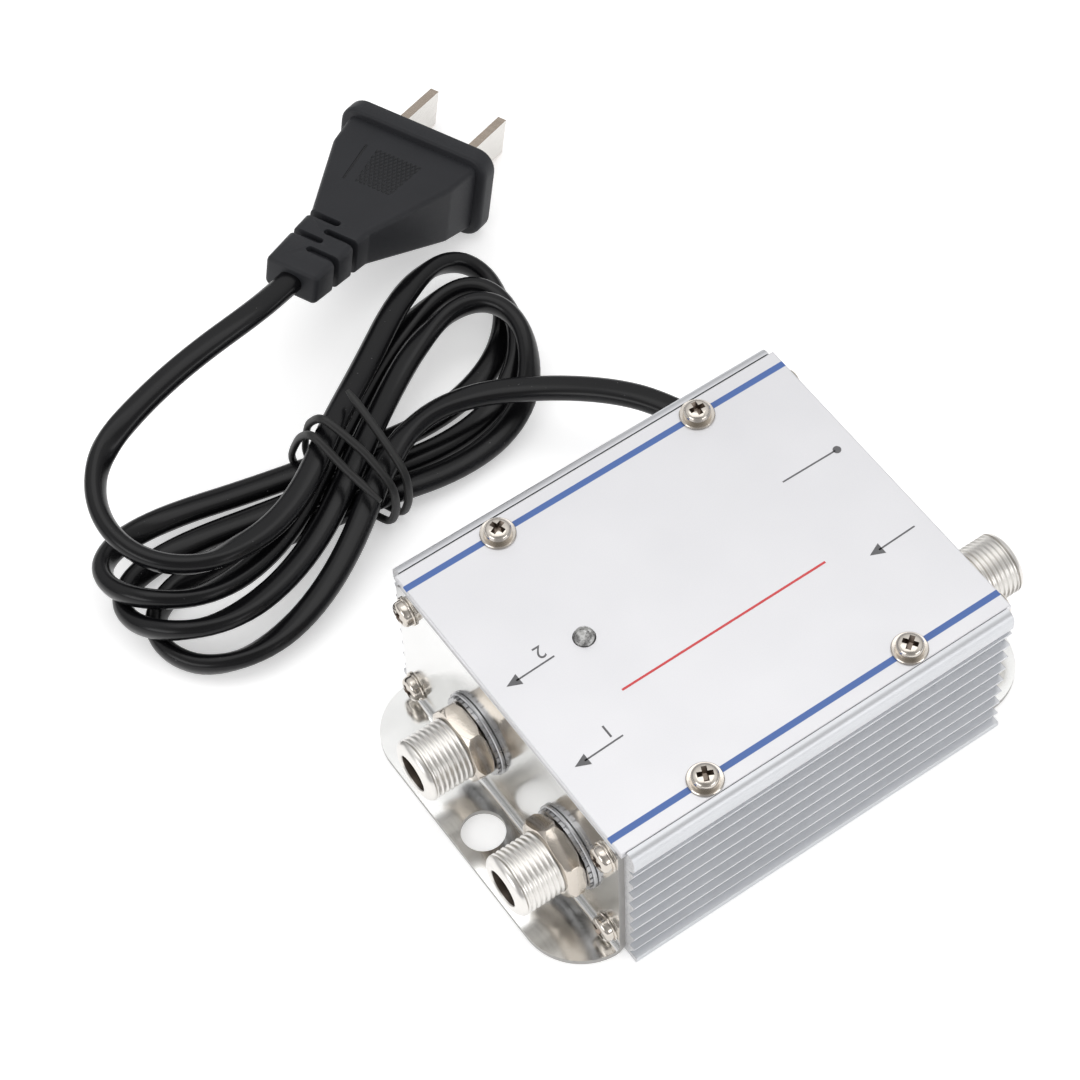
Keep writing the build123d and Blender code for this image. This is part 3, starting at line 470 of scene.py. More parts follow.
# %% Read the smooth curve
def smooth_line(name, controls, steps):
    """The points of a NURBS curve with these control points."""
    curve = bpy.data.curves.new(name, "CURVE")
    curve.dimensions = "3D"
    spline = curve.splines.new("NURBS")
    spline.points.add(len(controls) - 1)
    for point, place in zip(spline.points, controls):
        point.co = (*place, 1)
    spline.order_u = 3
    spline.use_endpoint_u = True
    spline.resolution_u = steps
    guide = bpy.data.objects.new(name, curve)
    bpy.context.scene.collection.objects.link(guide)
    bpy.context.view_layer.update()
    line = bpy.data.meshes.new_from_object(guide)
    places = [vertex.co.copy() for vertex in line.vertices]
    bpy.data.objects.remove(guide)
    bpy.data.meshes.remove(line)
    return places


cord_line = smooth_line("cord_guide", route, steps=6)
cord_length = sum((b - a).length for a, b in zip(cord_line, cord_line[1:]))
print("cord line:", len(cord_line), "points,", round(cord_length / mm, 1), "mm long")

# %% Roll of the section along the cord
cord_width, cord_thickness = 4.0 * mm, 2.9 * mm
lowest_skin = 0.02 * mm
gentle_bend, tight_bend = 0.035, 0.085
on_edge = math.radians(78)
bend_passes, roll_passes = 30, 20


def flat_section(width, thickness, count=20):
    """A rounded oblong, fuller than an ellipse, as pairs of across and up."""
    side_fullness, top_fullness = 0.85, 0.8
    section = []
    for step in range(count):
        angle = 2 * math.pi * step / count
        across, rise = math.cos(angle), math.sin(angle)
        section.append((
            math.copysign(abs(across) ** side_fullness, across) * width / 2,
            math.copysign(abs(rise) ** top_fullness, rise) * thickness / 2,
        ))
    return section


def smoothed(values, passes):
    """Evens out a list of numbers, keeping its ends."""
    for _ in range(passes):
        inner = [(a + b * 2 + c) / 4 for a, b, c in zip(values, values[1:], values[2:])]
        values = [values[0], *inner, values[-1]]
    return values


def headings_of(line):
    """The way that a line goes at each of its points."""
    ends = [line[1] - line[0]] + [b - a for a, b in zip(line, line[2:])] + [line[-1] - line[-2]]
    return [end.normalized() for end in ends]


bends = [0.0]
for before, here, after in zip(cord_line, cord_line[1:], cord_line[2:]):
    turned_by = abs((here - before).to_2d().angle_signed((after - here).to_2d()))
    bends.append(turned_by / ((here - before).length / mm))
bends.append(0.0)
tightness = [(bend - gentle_bend) / (tight_bend - gentle_bend) for bend in smoothed(bends, bend_passes)]
rolls = smoothed([on_edge * eased(share) for share in tightness], roll_passes)
cord_section = flat_section(cord_width, cord_thickness)
wide_ways = []
for place, heading, roll_here in zip(cord_line, headings_of(cord_line), rolls):
    level = Vector((0, 0, 1)).cross(heading).normalized()
    way = level * math.cos(roll_here) + heading.cross(level) * math.sin(roll_here)
    wide_ways.append(way)
    rise = heading.cross(way)
    lowest = min(way.z * across + rise.z * lift for across, lift in cord_section)
    place.z = max(place.z, lowest_skin - lowest)
print("cord on edge for", sum(value > on_edge / 2 for value in rolls), "of", len(rolls), "points")

# %% Carry the section along the line
def carry(name, line, ways, sections):
    """Joins the sections into a closed tube along a line."""
    mesh = bmesh.new()
    rings = []
    for place, heading, way, section in zip(line, headings_of(line), ways, sections):
        way = (way - heading * way.dot(heading)).normalized()
        rise = heading.cross(way)
        rings.append([mesh.verts.new(place + way * across + rise * lift) for across, lift in section])
    for first, second in zip(rings, rings[1:]):
        for index in range(len(first)):
            after = (index + 1) % len(first)
            mesh.faces.new((first[index], first[after], second[after], second[index]))
    mesh.faces.new(rings[0][::-1])
    mesh.faces.new(rings[-1])
    bmesh.ops.recalc_face_normals(mesh, faces=mesh.faces)
    data = bpy.data.meshes.new(name)
    mesh.to_mesh(data)
    mesh.free()
    piece = bpy.data.objects.new(name, data)
    bpy.context.scene.collection.objects.link(piece)
    return piece


cord = carry("mains_cord", cord_line, wide_ways, [cord_section] * len(cord_line))
settle(cord, sharp_degrees=60)
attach(cord, "root")
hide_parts("cord_lead", "cord_hank", "cord_tail")

# %% [markdown]
# ## The twist tie
#
# A plastic coated wire goes twice round the waist of the hank, and both its ends stand off in a
# loose curl. It could be a curve with a round bevel, but the coating is a little flat, so it is made
# as the cord is: a smooth line is read back and a section is carried along it, thinner at the ends.
# Each corner gets a point on either side, so the wire hugs the bundle as it turns.

# %% Tie wire round the waist
tie_corners = (
    (5.2, 6.2, 15.0), (4.4, 1.5, 13.8), (3.4, -4.0, 12.0), (2.4, -8.6, 10.2), (1.6, -9.6, 5.5),
    (1.0, -8.4, 0.9), (-1.6, 8.6, 0.9), (-1.9, 9.5, 4.0), (-1.7, 8.1, 11.8), (-1.2, 5.0, 16.1),
    (-0.2, -2.6, 13.2), (-0.4, -8.6, 10.2), (-0.7, -9.3, 5.5), (-1.4, -8.2, 0.9), (-3.9, 9.0, 0.9),
    (-4.2, 10.3, 4.0), (-4.2, 7.3, 11.7), (-4.3, 3.9, 16.0), (-4.2, -2.6, 13.0), (-3.8, -9.5, 10.9),
)
tie_width, tie_thickness, tie_sides = 1.3 * mm, 1.105 * mm, 12
point_offset, longest_share = 1.1 * mm, 0.4
end_sizes = (0.55, 0.85, 1.0)

tie_places = [hank_frame(*corner) for corner in tie_corners]
tie_controls = [tie_places[0]]
for before, here, after in zip(tie_places, tie_places[1:], tie_places[2:]):
    for side in (before, after):
        run = side - here
        tie_controls.append(here + run.normalized() * min(point_offset, run.length * longest_share))
tie_controls.append(tie_places[-1])
tie_line = smooth_line("tie_guide", tie_controls, steps=5)
tie_ways = [Vector((0, 0, 1)).cross(headings_of(tie_line)[0]).normalized()]
for before, here in zip(tie_line, tie_line[1:]):
    heading = (here - before).normalized()
    tie_ways.append((tie_ways[-1] - heading * tie_ways[-1].dot(heading)).normalized())
tie_sections = []
for index in range(len(tie_line)):
    size = end_sizes[min(index, len(tie_line) - 1 - index, len(end_sizes) - 1)]
    tie_sections.append(flat_section(tie_width * size, tie_thickness * size, tie_sides))
tie = carry("twist_tie_wire", tie_line, tie_ways, tie_sections)
settle(tie, sharp_degrees=60)
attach(tie, "root")
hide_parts("twist_tie")

# %% [markdown]
# ## The moulded plug
#
# The plug is one soft moulding: a strain relief cut by slots from alternate sides, a body that
# widens to a shoulder, and a thick rim that the fingers pull on. By hand, such a shape starts as a
# rounded outline of the cord's end and is extruded station by station, and at each station the four
# corners are moved apart, so their small radius stays the same while the outline grows.

# %% Plug body by stations
plug_stations = ((0.0, 9.2, 5.4), (14.0, 10.5, 6.7), (29.0, 21.8, 10.8), (35.2, 23.4, 12.0))
level_slack = 0.01


def new_plate(name, length, width):
    """A flat rectangle at the origin, left in edit mode."""
    start_fresh()
    bpy.ops.mesh.primitive_plane_add(size=1)
    plate = edit(named(name))
    bpy.ops.transform.resize(value=(length * mm, width * mm, 1))
    return plate


def rounded_outline(name, width, height, corner, segments, level=0.0):
    """A flat face with rounded corners, left in edit mode."""
    outline = new_plate(name, width, height)
    bpy.ops.transform.translate(value=(0, 0, level * mm))
    bpy.ops.mesh.bevel(offset=corner * mm, segments=segments, affect="VERTICES")
    return outline


def at_level(place, level):
    return abs(place.z / mm - level) < level_slack


def spread_corners(level, wider, higher):
    """Moves the four corners at this level apart, each by half of what the outline grows."""
    for side in (-1, 1):
        for rise in (-1, 1):
            choose("VERT", lambda vertex: at_level(vertex.co, level)
                   and vertex.co.x * side > 0 and vertex.co.y * rise > 0)
            bpy.ops.transform.translate(value=(side * wider / 2 * mm, rise * higher / 2 * mm, 0))
    choose("FACE", lambda face: at_level(face.calc_center_median(), level) and abs(face.normal.z) > 0.9)


def soften_level(level, offset, segments):
    """Bevels the edges that lie at one level."""
    choose("EDGE", lambda edge: all(at_level(vertex.co, level) for vertex in edge.verts))
    soften(offset, segments)


plug = rounded_outline("plug_moulding", *plug_stations[0][1:], corner=1.0, segments=6)
for (start, width, height), (end, next_width, next_height) in zip(plug_stations, plug_stations[1:]):
    push(end - start)
    spread_corners(end, next_width - width, next_height - height)
for level, offset in ((14.0, 0.3), (29.0, 0.35), (0.0, 0.7)):
    soften_level(level, offset, 3)
start_fresh()
print("plug body:", len(plug.data.polygons), "faces")

# %% Slots of the strain relief
slot_size = (11.0, 20.0, 1.3)
slot_shift, slot_rounding = 4.9, 0.624
slot_levels = (5.3, 7.8, 10.3, 12.8)
relief_start, relief_end = 1.0, 14.2


def new_box(name, size, place):
    """A box of this size round a place, left in edit mode."""
    start_fresh()
    bpy.ops.mesh.primitive_cube_add(size=1, location=Vector(place) * mm)
    box = edit(named(name))
    bpy.ops.transform.resize(value=Vector(size) * mm)
    return box


for index, level in enumerate(slot_levels):
    side = 1 if index % 2 else -1
    cutter = new_box("slot_cutter", slot_size, (side * slot_shift, 0, level))
    choose("EDGE", lambda edge: middle(edge).x * side / mm < -slot_size[0] * 0.4
           and abs(edge.verts[0].co.y - edge.verts[1].co.y) / mm > slot_size[1] / 2)
    soften(slot_rounding, 5)
    cut(plug, cutter)
edit(plug)
merge(0.01)
choose("EDGE", lambda edge: folds(edge, 60) and relief_start < middle(edge).z / mm < relief_end)
soften(0.16, 2, clamp=True)
start_fresh()
print("plug body with slots:", len(plug.data.polygons), "faces")

# %% Core inside the relief, and the rim
core_level, core_length = 1.0, 14.0
core = rounded_outline("relief_core", 7.9, 4.1, corner=1.2, segments=6, level=core_level)
push(core_length)

rim_level, rim_thickness = 35.0, 3.4
rim = rounded_outline("plug_rim", 26.8, 15.0, corner=3.2, segments=8, level=rim_level)
push(rim_thickness)
for level, offset in ((rim_level, 0.75), (rim_level + rim_thickness, 0.6)):
    soften_level(level, offset, 5)
join(plug, core, rim)
plug_place = Matrix((plug_sideways, plug_up, plug_heading)).transposed().to_4x4()
plug.matrix_world = Matrix.Translation(plug_cord_end) @ plug_place
settle(plug, sharp_degrees=30)
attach(plug, "root")
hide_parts("plug_body")

# %% [markdown]
# ## The cord's lowest point
#
# The tie and the plug are separate pieces on the same cord.

print("cord declared, lowest point", round(min(vertex.co.z for vertex in cord.data.vertices) / mm, 2), "mm")

# %% [markdown]
# ## The pilot light's inside
#
# The lamp is a clear moulding, and its dome would look like an empty bead without the small cup and
# the post that the light comes from. A low base and the cup are extruded from ring to ring, and the
# post is a bar with softened edges. All three stand inside the clear lens of the frame.

# %% Base, cup and post
lamp_low, lamp_high = [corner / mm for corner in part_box("status_led")]


def turned_piece(name, rings, place=(0, 0, 0), segments=24):
    """A round piece extruded from ring to ring. A ring is a radius and a height over the place."""
    radius, height = rings[0]
    start_fresh()
    bpy.ops.mesh.primitive_circle_add(
        vertices=segments, radius=radius * mm, fill_type="NGON",
        location=(Vector(place) + Vector((0, 0, height))) * mm,
    )
    piece = edit(named(name))
    for next_radius, next_height in rings[1:]:
        push(next_height - height)
        share = next_radius / radius
        bpy.ops.transform.resize(value=(share, share, 1), center_override=Vector(place) * mm)
        radius, height = next_radius, next_height
    start_fresh()
    return piece


def in_lamp(sideways, drop):
    """A place inside the lamp, beside its middle and under its top."""
    return (lamp_low.x + lamp_high.x) / 2 + sideways, (lamp_low.y + lamp_high.y) / 2, lamp_high.z - drop


base_rings = ((1.34, 0), (1.38, 0.1), (1.30, 0.22), (0.9, 0.3))
cup_rings = ((0.5, 0), (0.98, 0.8), (0.9, 0.82), (0.4, 0.35))
base = turned_piece("pilot_light_base", base_rings, in_lamp(0, 2.1))
cup = turned_piece("pilot_light_cup", cup_rings, in_lamp(-0.28, 1.85))
post = new_box("pilot_light_post", (0.34, 0.6, 1.2), in_lamp(0.88, 1.35))
soften(0.08, 2)
join(cup, post, base)
settle(cup, sharp_degrees=40)
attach(cup, "root")

# %% [markdown]
# ## Bright and satin nickel
#
# The end plates are nickel plated and almost a mirror, so most of their look comes from what they
# reflect, and a finish that is too even looks like chrome paint. Faint handling smudges vary the
# roughness. Sockets, nuts and screws share one recipe with other tones and roughness. These finishes
# come before the small metal pieces, because a screw holds two of them: bright metal on its head, and
# painted shade in its recess, a dark tone where hardly any light gets back out. A socket's bore gets
# such painted shade too.

# %% Nickel finishes
def nickel(name, dark, light, roughness, smudge_size, pits=0.004):
    """Plated metal in two tones, with smudges and with fine pits of this depth."""
    finish, shader, wire = new_finish(name, metal)
    smudge, fine = grain(wire, smudge_size * mm, 3), grain(wire, 0.35 * mm, 2)
    plated = (smudge * 0.7 + fine * 0.3).mix(dark, light)
    paint(shader, plated, smudge.above(0.55, 0.5).span(*roughness), relief(wire, fine, pits * mm))
    return finish


socket_nickel = nickel("socket_nickel_satin", (0.68, 0.66, 0.63), (0.86, 0.84, 0.81), (0.28, 0.4), 2.5, 0.008)
nut_nickel = nickel("nut_nickel_warm", (0.52, 0.47, 0.41), (0.74, 0.68, 0.61), (0.14, 0.26), 3, 0.014)
screw_nickel = nickel("screw_nickel_bright", (0.52, 0.48, 0.43), (0.72, 0.67, 0.61), (0.12, 0.22), 1.5)
washer_zinc = nickel("washer_zinc_dull", (0.40, 0.40, 0.41), (0.58, 0.58, 0.59), (0.25, 0.36), 1.2)
# Painted shade: recess_shade darkens the cross recess of a screw.
recess_shade = nickel("recess_shade", (0.15, 0.12, 0.10), (0.30, 0.25, 0.21), (0.3, 0.45), 0.5)
# Painted shade: bore_shade darkens the deep bore of a socket.
bore_shade = nickel("bore_shade", (0.07, 0.055, 0.045), (0.14, 0.115, 0.095), (0.35, 0.5), 1.2)

# %% Plate nickel with its sheared edges
plate_thickness = 0.95
plate_nickel, shader, wire = new_finish("plate_nickel", metal)
z = axes(wire)[2]
_, look_y, look_z = axes(wire, "Normal")
foot_rim = (1 - abs(look_z).above(0.5, 0.3)) * (1 - z.above((plate_thickness - 0.05) * mm, 0.05 * mm))
sheared = wire.maths("MAXIMUM", abs(look_y).above(0.4, 0.2), foot_rim)
smudge, fine = grain(wire, 7 * mm, 3), grain(wire, 0.35 * mm, 2)
plated = (smudge * 0.7 + fine * 0.3).mix((0.74, 0.74, 0.73), (0.84, 0.84, 0.83))
plate_color = sheared.mix(plated, fine.mix((0.30, 0.29, 0.28), (0.46, 0.45, 0.43)))
plate_roughness = smudge.above(0.55, 0.5).span(0.11, 0.2) + sheared * 0.2
paint(shader, plate_color, plate_roughness, relief(wire, fine, 0.001 * mm))
for node in ("output_bracket", "input_bracket"):
    wear(node, plate_nickel)
print("finishes so far:", len(bpy.data.materials))

# %% [markdown]
# ## Screws
#
# Each screw has a pressed washer, a domed head and a cross recess that looks nearly black, because
# hardly any light comes back out of it, so the recess is given painted shade, a dark metal. One screw
# is modelled standing at the origin: a disc is extruded and scaled ring by ring, and the cross is cut
# with a boolean. It is then copied to its places. Joined copies share one list of finishes, so both
# are on the screw before it is copied.

# %% One screw, ring by ring
recess_size, recess_middle, recess_taper = (2.65, 0.82, 1.1), (0, 0, 1.35), (0.4, 0.7, 1)


def shade_inside(piece, main, shade, radius, low, high):
    """Gives a piece its finish, and painted shade to the faces near its axis between two heights."""
    def inside(face):
        center = face.calc_center_median() / mm
        return center.to_2d().length < radius and low < center.z < high

    for finish in (main, shade):
        piece.data.materials.append(finish)
    edit(piece)
    count = choose("FACE", inside)
    piece.active_material_index = 1
    bpy.ops.object.material_slot_assign()
    start_fresh()
    print(piece.name, "faces in shade:", count)


def new_screw(name, flange):
    """A screw whose seat is at height 0, pointing up."""
    screw = turned_piece(name, (
        (0.9, -4.0), (1.2, -3.6), (1.25, -0.2), (flange - 0.12, -0.01), (flange, 0.12), (flange, 0.26),
        (flange - 0.12, 0.37), (flange - 0.38, 0.34), (1.98, 0.32), (1.97, 0.5), (1.97, 0.92),
        (1.91, 1.2), (1.76, 1.42), (1.52, 1.57), (1.2, 1.66), (0.8, 1.7),
    ), segments=40)
    for turn in (45, 135):
        arm = new_box("recess_cutter", recess_size, recess_middle)
        choose("FACE", lambda face: face.normal.z < -0.9)
        bpy.ops.transform.resize(value=recess_taper)
        bpy.ops.mesh.select_all(action="SELECT")
        bpy.ops.transform.rotate(value=math.radians(turn), orient_axis="Z", center_override=(0, 0, 0))
        cut(screw, arm)
    apply_place(screw)
    # The recess faces get recess_shade, which is painted shade where little light gets back out.
    shade_inside(screw, screw_nickel, recess_shade, radius=1.345, low=0.6, high=1.6)
    return screw


# %% Screws in their places
def set_copies(name, pattern, places, node):
    """Copies a piece to its places, joins the copies and lets them stand for a CAD node."""
    copies = []
    for place, axis, spin in places:
        take(pattern)
        bpy.ops.object.duplicate()
        copies.append(bpy.context.object)
        facing = Vector(axis).to_track_quat("Z", "Y").to_matrix().to_4x4()
        spun = Matrix.Rotation(math.radians(spin), 4, "Z")
        copies[-1].matrix_world = Matrix.Translation(Vector(place) * mm) @ facing @ spun
    join(*copies)
    piece = named(name)
    settle(piece, sharp_degrees=32)
    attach(piece, "root")
    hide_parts(node)


cover_screw = new_screw("cover_screw_pattern", flange=2.6)
plate_screw = new_screw("plate_screw_pattern", flange=2.3)
cover_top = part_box("top_cover")[1].z / mm
plate_face = 32.95
cover_screw_x, cover_screw_y, plate_screw_y = 17.2, 24.1, 23.6
spins = (20, 65, -10, 38)
corner_ways = ((-1, -1), (-1, 1), (1, -1), (1, 1))
plate_screw_heights = {-1: 4.1, 1: 24.3}
cover_spots = [((x * cover_screw_x, y * cover_screw_y, cover_top), (0, 0, 1), spin)
               for (x, y), spin in zip(corner_ways, spins)]
set_copies("cover_screw_set", cover_screw, cover_spots, "cover_screws")
for side, end in ((-1, "output"), (1, "input")):
    end_spots = [((side * plate_face, y * plate_screw_y, plate_screw_heights[row]), (side, 0, 0), spin)
                 for (y, row), spin in zip(corner_ways, spins)]
    set_copies(end + "_plate_screw_set", plate_screw, end_spots, end + "_bracket_screws")
for pattern in (cover_screw, plate_screw):
    bpy.data.objects.remove(pattern)

# %% [markdown]
# ## Threaded sockets
#
# An aerial socket is one turned shell: a collar inside the box, a fine thread, a rounded nose and a
# deep bore. Plating rounds the crests of so fine a thread, and that softness is what the eye reads,
# so the shell is drawn anew as rings with blunt crests. Its bore runs right through, so both end
# faces are taken out and the tube closes on itself. Both washers are tubes too, and one of them has
# its teeth pulled out of the rim. The nut is a six-sided bar that a turned blank and a bore cut. Each
# is modelled once and copied to the three sockets.

# %% Tubes that close on themselves
def new_tube(name, rings, segments=64):
    """A turned piece with a hole through it, whose last ring is its first one again."""
    tube = turned_piece(name, rings, segments=segments)
    apply_place(tube)
    edit(tube)
    caps = choose("FACE", lambda face: len(face.verts) == segments)
    bpy.ops.mesh.delete(type="FACE")
    face_out()
    start_fresh()
    print(name, "caps removed:", caps, "faces:", len(tube.data.polygons))
    return tube


crest, root, neck = 4.74, 4.5, 4.56
thread_pitch, first_groove, thread_turns = 0.79375, 4.25, 8
shell_rings = [(2.5, -5.95), (3.6, -5.95), (3.6, -2.95), (6.1, -2.95), (6.25, -2.8), (6.25, -0.95)]
shell_rings += [(neck, -0.95), (neck, 4.0)]
for turn in range(thread_turns):
    start = first_groove + turn * thread_pitch
    shell_rings += [(crest, start - 0.1), (crest, start + 0.06), (root, start + 0.3), (root, start + 0.5)]
shell_rings += [
    (crest, 10.2), (4.7, 10.42), (4.6, 10.64), (4.43, 10.84), (4.2, 11.01), (3.92, 11.15), (3.6, 11.25),
    (3.3, 11.3), (3.05, 11.27), (2.88, 11.16), (2.8, 10.97), (2.72, 9.32), (2.5, 9.3), (2.5, -5.95),
]
shell = new_tube("socket_shell", shell_rings)
# The faces in the mouth of the bore get bore_shade, which is painted shade where little light reaches.
shade_inside(shell, socket_nickel, bore_shade, radius=2.79, low=9.25, high=11.1)

# %% Nut and washers
nut_radius, nut_length, nut_middle, inside_radius = 6.35, 3.0, 2.6, 5.0
start_fresh()
bpy.ops.mesh.primitive_cylinder_add(
    vertices=6, radius=nut_radius * mm, depth=nut_length * mm, location=(0, 0, nut_middle * mm))
nut = named("socket_nut")
blank_rings = ((5.3, 1.09), (5.75, 1.25), (6.3, 1.85), (6.3, 3.25), (5.75, 3.95), (5.3, 4.11))
cut(nut, turned_piece("nut_blank", blank_rings, segments=64), "INTERSECT")
cut(nut, turned_piece("nut_bore", ((4.78, 0.8), (4.78, 4.8)), segments=64))
edit(nut)
merge(0.005)
corners = choose("EDGE", lambda edge: folds(edge, 28) and middle(edge).to_2d().length > inside_radius * mm)
soften(0.1, 2, clamp=True)
apply_place(nut)
print("nut:", corners, "edges softened,", len(nut.data.polygons), "faces")

washer_rings = ((4.81, 0.02), (6.45, 0.02), (6.6, 0.12), (6.6, 0.48), (6.45, 0.6), (4.81, 0.6), (4.81, 0.02))
washer = new_tube("flat_washer", washer_rings)
toothed_rings = ((4.81, 0.62), (6.1, 0.62), (6.1, 1.08), (4.81, 1.08), (4.81, 0.62))
toothed = new_tube("toothed_washer", toothed_rings, 96)
teeth_and_gaps, tooth_share, tooth_reach = 32, 0.66, 1.025


def on_tooth(face):
    """Two faces out of three on the rim belong to a tooth."""
    center = face.calc_center_median().to_2d()
    turn = math.atan2(center.y, center.x) / (2 * math.pi) * teeth_and_gaps
    return center.length > 6.0 * mm and turn % 1 < tooth_share


edit(toothed)
choose("FACE", on_tooth)
bpy.ops.mesh.extrude_region_move()
bpy.ops.transform.resize(value=(tooth_reach, tooth_reach, 1), center_override=(0, 0, 0))
start_fresh()
print("toothed washer:", len(toothed.data.polygons), "faces")

for piece, finish in ((nut, nut_nickel), (washer, washer_zinc), (toothed, washer_zinc)):
    piece.data.materials.append(finish)

# %% Sockets in their places
socket_spots = {"first_output": (-1, -14.986), "second_output": (-1, 6.909), "input": (1, -13.792)}
socket_height, nut_spins = 14.1, (8, 31, 54)
for (name, (side, y)), nut_spin in zip(socket_spots.items(), nut_spins):
    for kind, pattern, spin, slot in (
        ("socket", shell, 0, "socket_nickel"), ("nut", nut, nut_spin, "nut_nickel"),
        ("washer", washer, 0, "washer_zinc"), ("lock_washer", toothed, 0, "washer_zinc"),
    ):
        spot = [((side * plate_face, y, socket_height), (side, 0, 0), spin)]
        node = name + "_" + kind
        set_copies(node + "_piece", pattern, spot, node)
for pattern in (shell, nut, washer, toothed):
    bpy.data.objects.remove(pattern)

# %% [markdown]
# ## Housing with softened edges
#
# On the real extrusion each fin ends in a small rounded lip, and these lips catch the light as thin
# bright lines. The frame's housing has sharp lips, which stay dark. So a copy of its mesh is merged,
# its flat faces are made whole, and only the long edges on the outside are bevelled.

# %% Bevelled housing
lip_line, long_edge = 28.4 * mm, 60 * mm
housing = bpy.data.objects.new("housing_extrusion", frame["nodes"]["housing"].data.copy())
bpy.context.scene.collection.objects.link(housing)
edit(housing)
bpy.ops.mesh.customdata_custom_splitnormals_clear()
merge(0.001)
bpy.ops.mesh.dissolve_limited(angle_limit=math.radians(0.3))
lips = choose("EDGE", lambda edge: folds(edge, 40) and abs(middle(edge).y) > lip_line
              and abs(edge.verts[0].co.x - edge.verts[1].co.x) > long_edge)
soften(0.22, 3)
take(housing)
bpy.ops.object.shade_smooth_by_angle(angle=math.radians(32))
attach(housing, "root")
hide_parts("housing")
print("housing:", lips, "lips bevelled,", len(housing.data.polygons), "faces")

# %% [markdown]
# ## Printed marks on the cover
#
# The cover carries plain arrows that point at the sockets, two thin rules and two numerals, printed
# in ink. They could be painted by the cover's material, but a thin line drawn in a shader turns soft
# when it is baked. So each mark is a very thin piece of its own that lies on the cover. An arrow is a
# three-sided head and a short rule, made by the same two functions for each socket.

# %% Arrows at three places
ink_height, line_width = 0.03, 0.24
head_length, head_width = 2.1, 1.9


def on_cover(x, y, turn=0.0, lift=0.0):
    """The matrix that sets a mark on the cover."""
    return Matrix.Translation(Vector((x, y, cover_top + lift)) * mm) @ Matrix.Rotation(turn, 4, "Z")


def new_rule(name, start, end, width=line_width):
    """A thin printed line between two places on the cover."""
    start, end = Vector(start), Vector(end)
    rule = new_plate(name, (end - start).length, width)
    push(ink_height)
    start_fresh()
    rule.matrix_world = on_cover(*((start + end) / 2), math.atan2(end.y - start.y, end.x - start.x))
    apply_place(rule)
    return rule


def new_head(name, x, y):
    """A printed triangle with its tip here, towards the left. Its length is 1.5 times its radius."""
    radius = head_length / 1.5
    head = turned_piece(name, ((radius, 0), (radius, ink_height)), segments=3)
    narrowed = Matrix.Diagonal((1, head_width / head_length * math.sqrt(3) / 2, 1, 1))
    head.matrix_world = on_cover(x + radius, y) @ narrowed @ Matrix.Rotation(math.radians(90), 4, "Z")
    apply_place(head)
    return head


arrow_tips = {
    "second_output_arrow": (-30.3, 3.05), "first_output_arrow": (-30.0, -12.45), "input_arrow": (22.2, -9.1),
}
arrows = []
for name, (x, y) in arrow_tips.items():
    arrows.append(new_head(name, x, y))
    join(arrows[-1], new_rule(name + "_stem", (x + 1.6, y), (x + 8.0, y + 0.2)))
print("arrows:", [arrow.name for arrow in arrows])

# %% Rules, dot and numerals
dot_rings = ((0.62, 0), (0.62, ink_height))
dot = turned_piece("cord_side_mark", dot_rings, (29.5, 7.64, cover_top))
join(dot, new_rule("cord_side_rule", (20.0, 7.72), (29.2, 7.64)))
red_rule = new_rule("middle_rule", (-18.0, -6.5), (16.6, -6.3), width=0.34)

numeral_size = 3.0
numerals = []
for name, text, (x, y) in (("numeral_two", "2", (-23.6, 5.0)), ("numeral_one", "1", (-23.4, -10.4))):
    start_fresh()
    bpy.ops.object.text_add()
    figure = bpy.context.object.data
    figure.body, figure.size, figure.extrude = text, numeral_size * mm, ink_height / 2 * mm
    figure.align_x = figure.align_y = "CENTER"
    bpy.ops.object.convert(target="MESH")
    numerals.append(named(name))
    numerals[-1].matrix_world = on_cover(x, y, turn=math.pi, lift=ink_height / 2)
for mark in (*arrows, dot, red_rule, *numerals):
    settle(mark, sharp_degrees=30)
    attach(mark, "root")

# %% [markdown]
# ## Anodised housing
#
# Extruded aluminium keeps faint lines along its length, and its sawn ends stay coarse. The lines are
# noise stretched along x, and the sawn ends are found by their place: everything beyond the last few
# hundredths of a millimetre gets a coarse sparkle instead.

# %% Satin anodised aluminium
housing_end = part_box("housing")[1].x
anodised, shader, wire = new_finish("satin_anodised", metal)
lines = grain(wire, 1.0, 3, object_place(wire, (60, 2600, 2600)))
cloud, sparkle = grain(wire, 9 * mm), grain(wire, 0.22 * mm, 3)
sawn = abs(axes(wire)[0]).above(housing_end - 0.04 * mm, 0.03 * mm)
body_color = (lines * 0.6 + cloud * 0.4).mix((0.56, 0.57, 0.59), (0.71, 0.72, 0.74))
sawn_color = sparkle.above(0.5, 0.4).mix((0.48, 0.48, 0.49), (0.72, 0.72, 0.73))
housing_roughness = lines.span(0.38, 0.5) * (1 - sawn) + sawn * 0.55
housing_relief = relief(wire, lines * 0.15 * (1 - sawn) + sparkle * sawn * 1.2, 0.02 * mm)
paint(shader, sawn.mix(body_color, sawn_color), housing_roughness, housing_relief)
wear(housing, anodised)
print("sawn ends beyond", round(housing_end / mm, 2), "mm")

# %% [markdown]
# ## Cover with its two blue stripes
#
# The cover is finely blasted, so it is matt and nearly white under soft light. Its stripes run the
# whole length along both edges, where they are easy to mask by the distance from the middle.

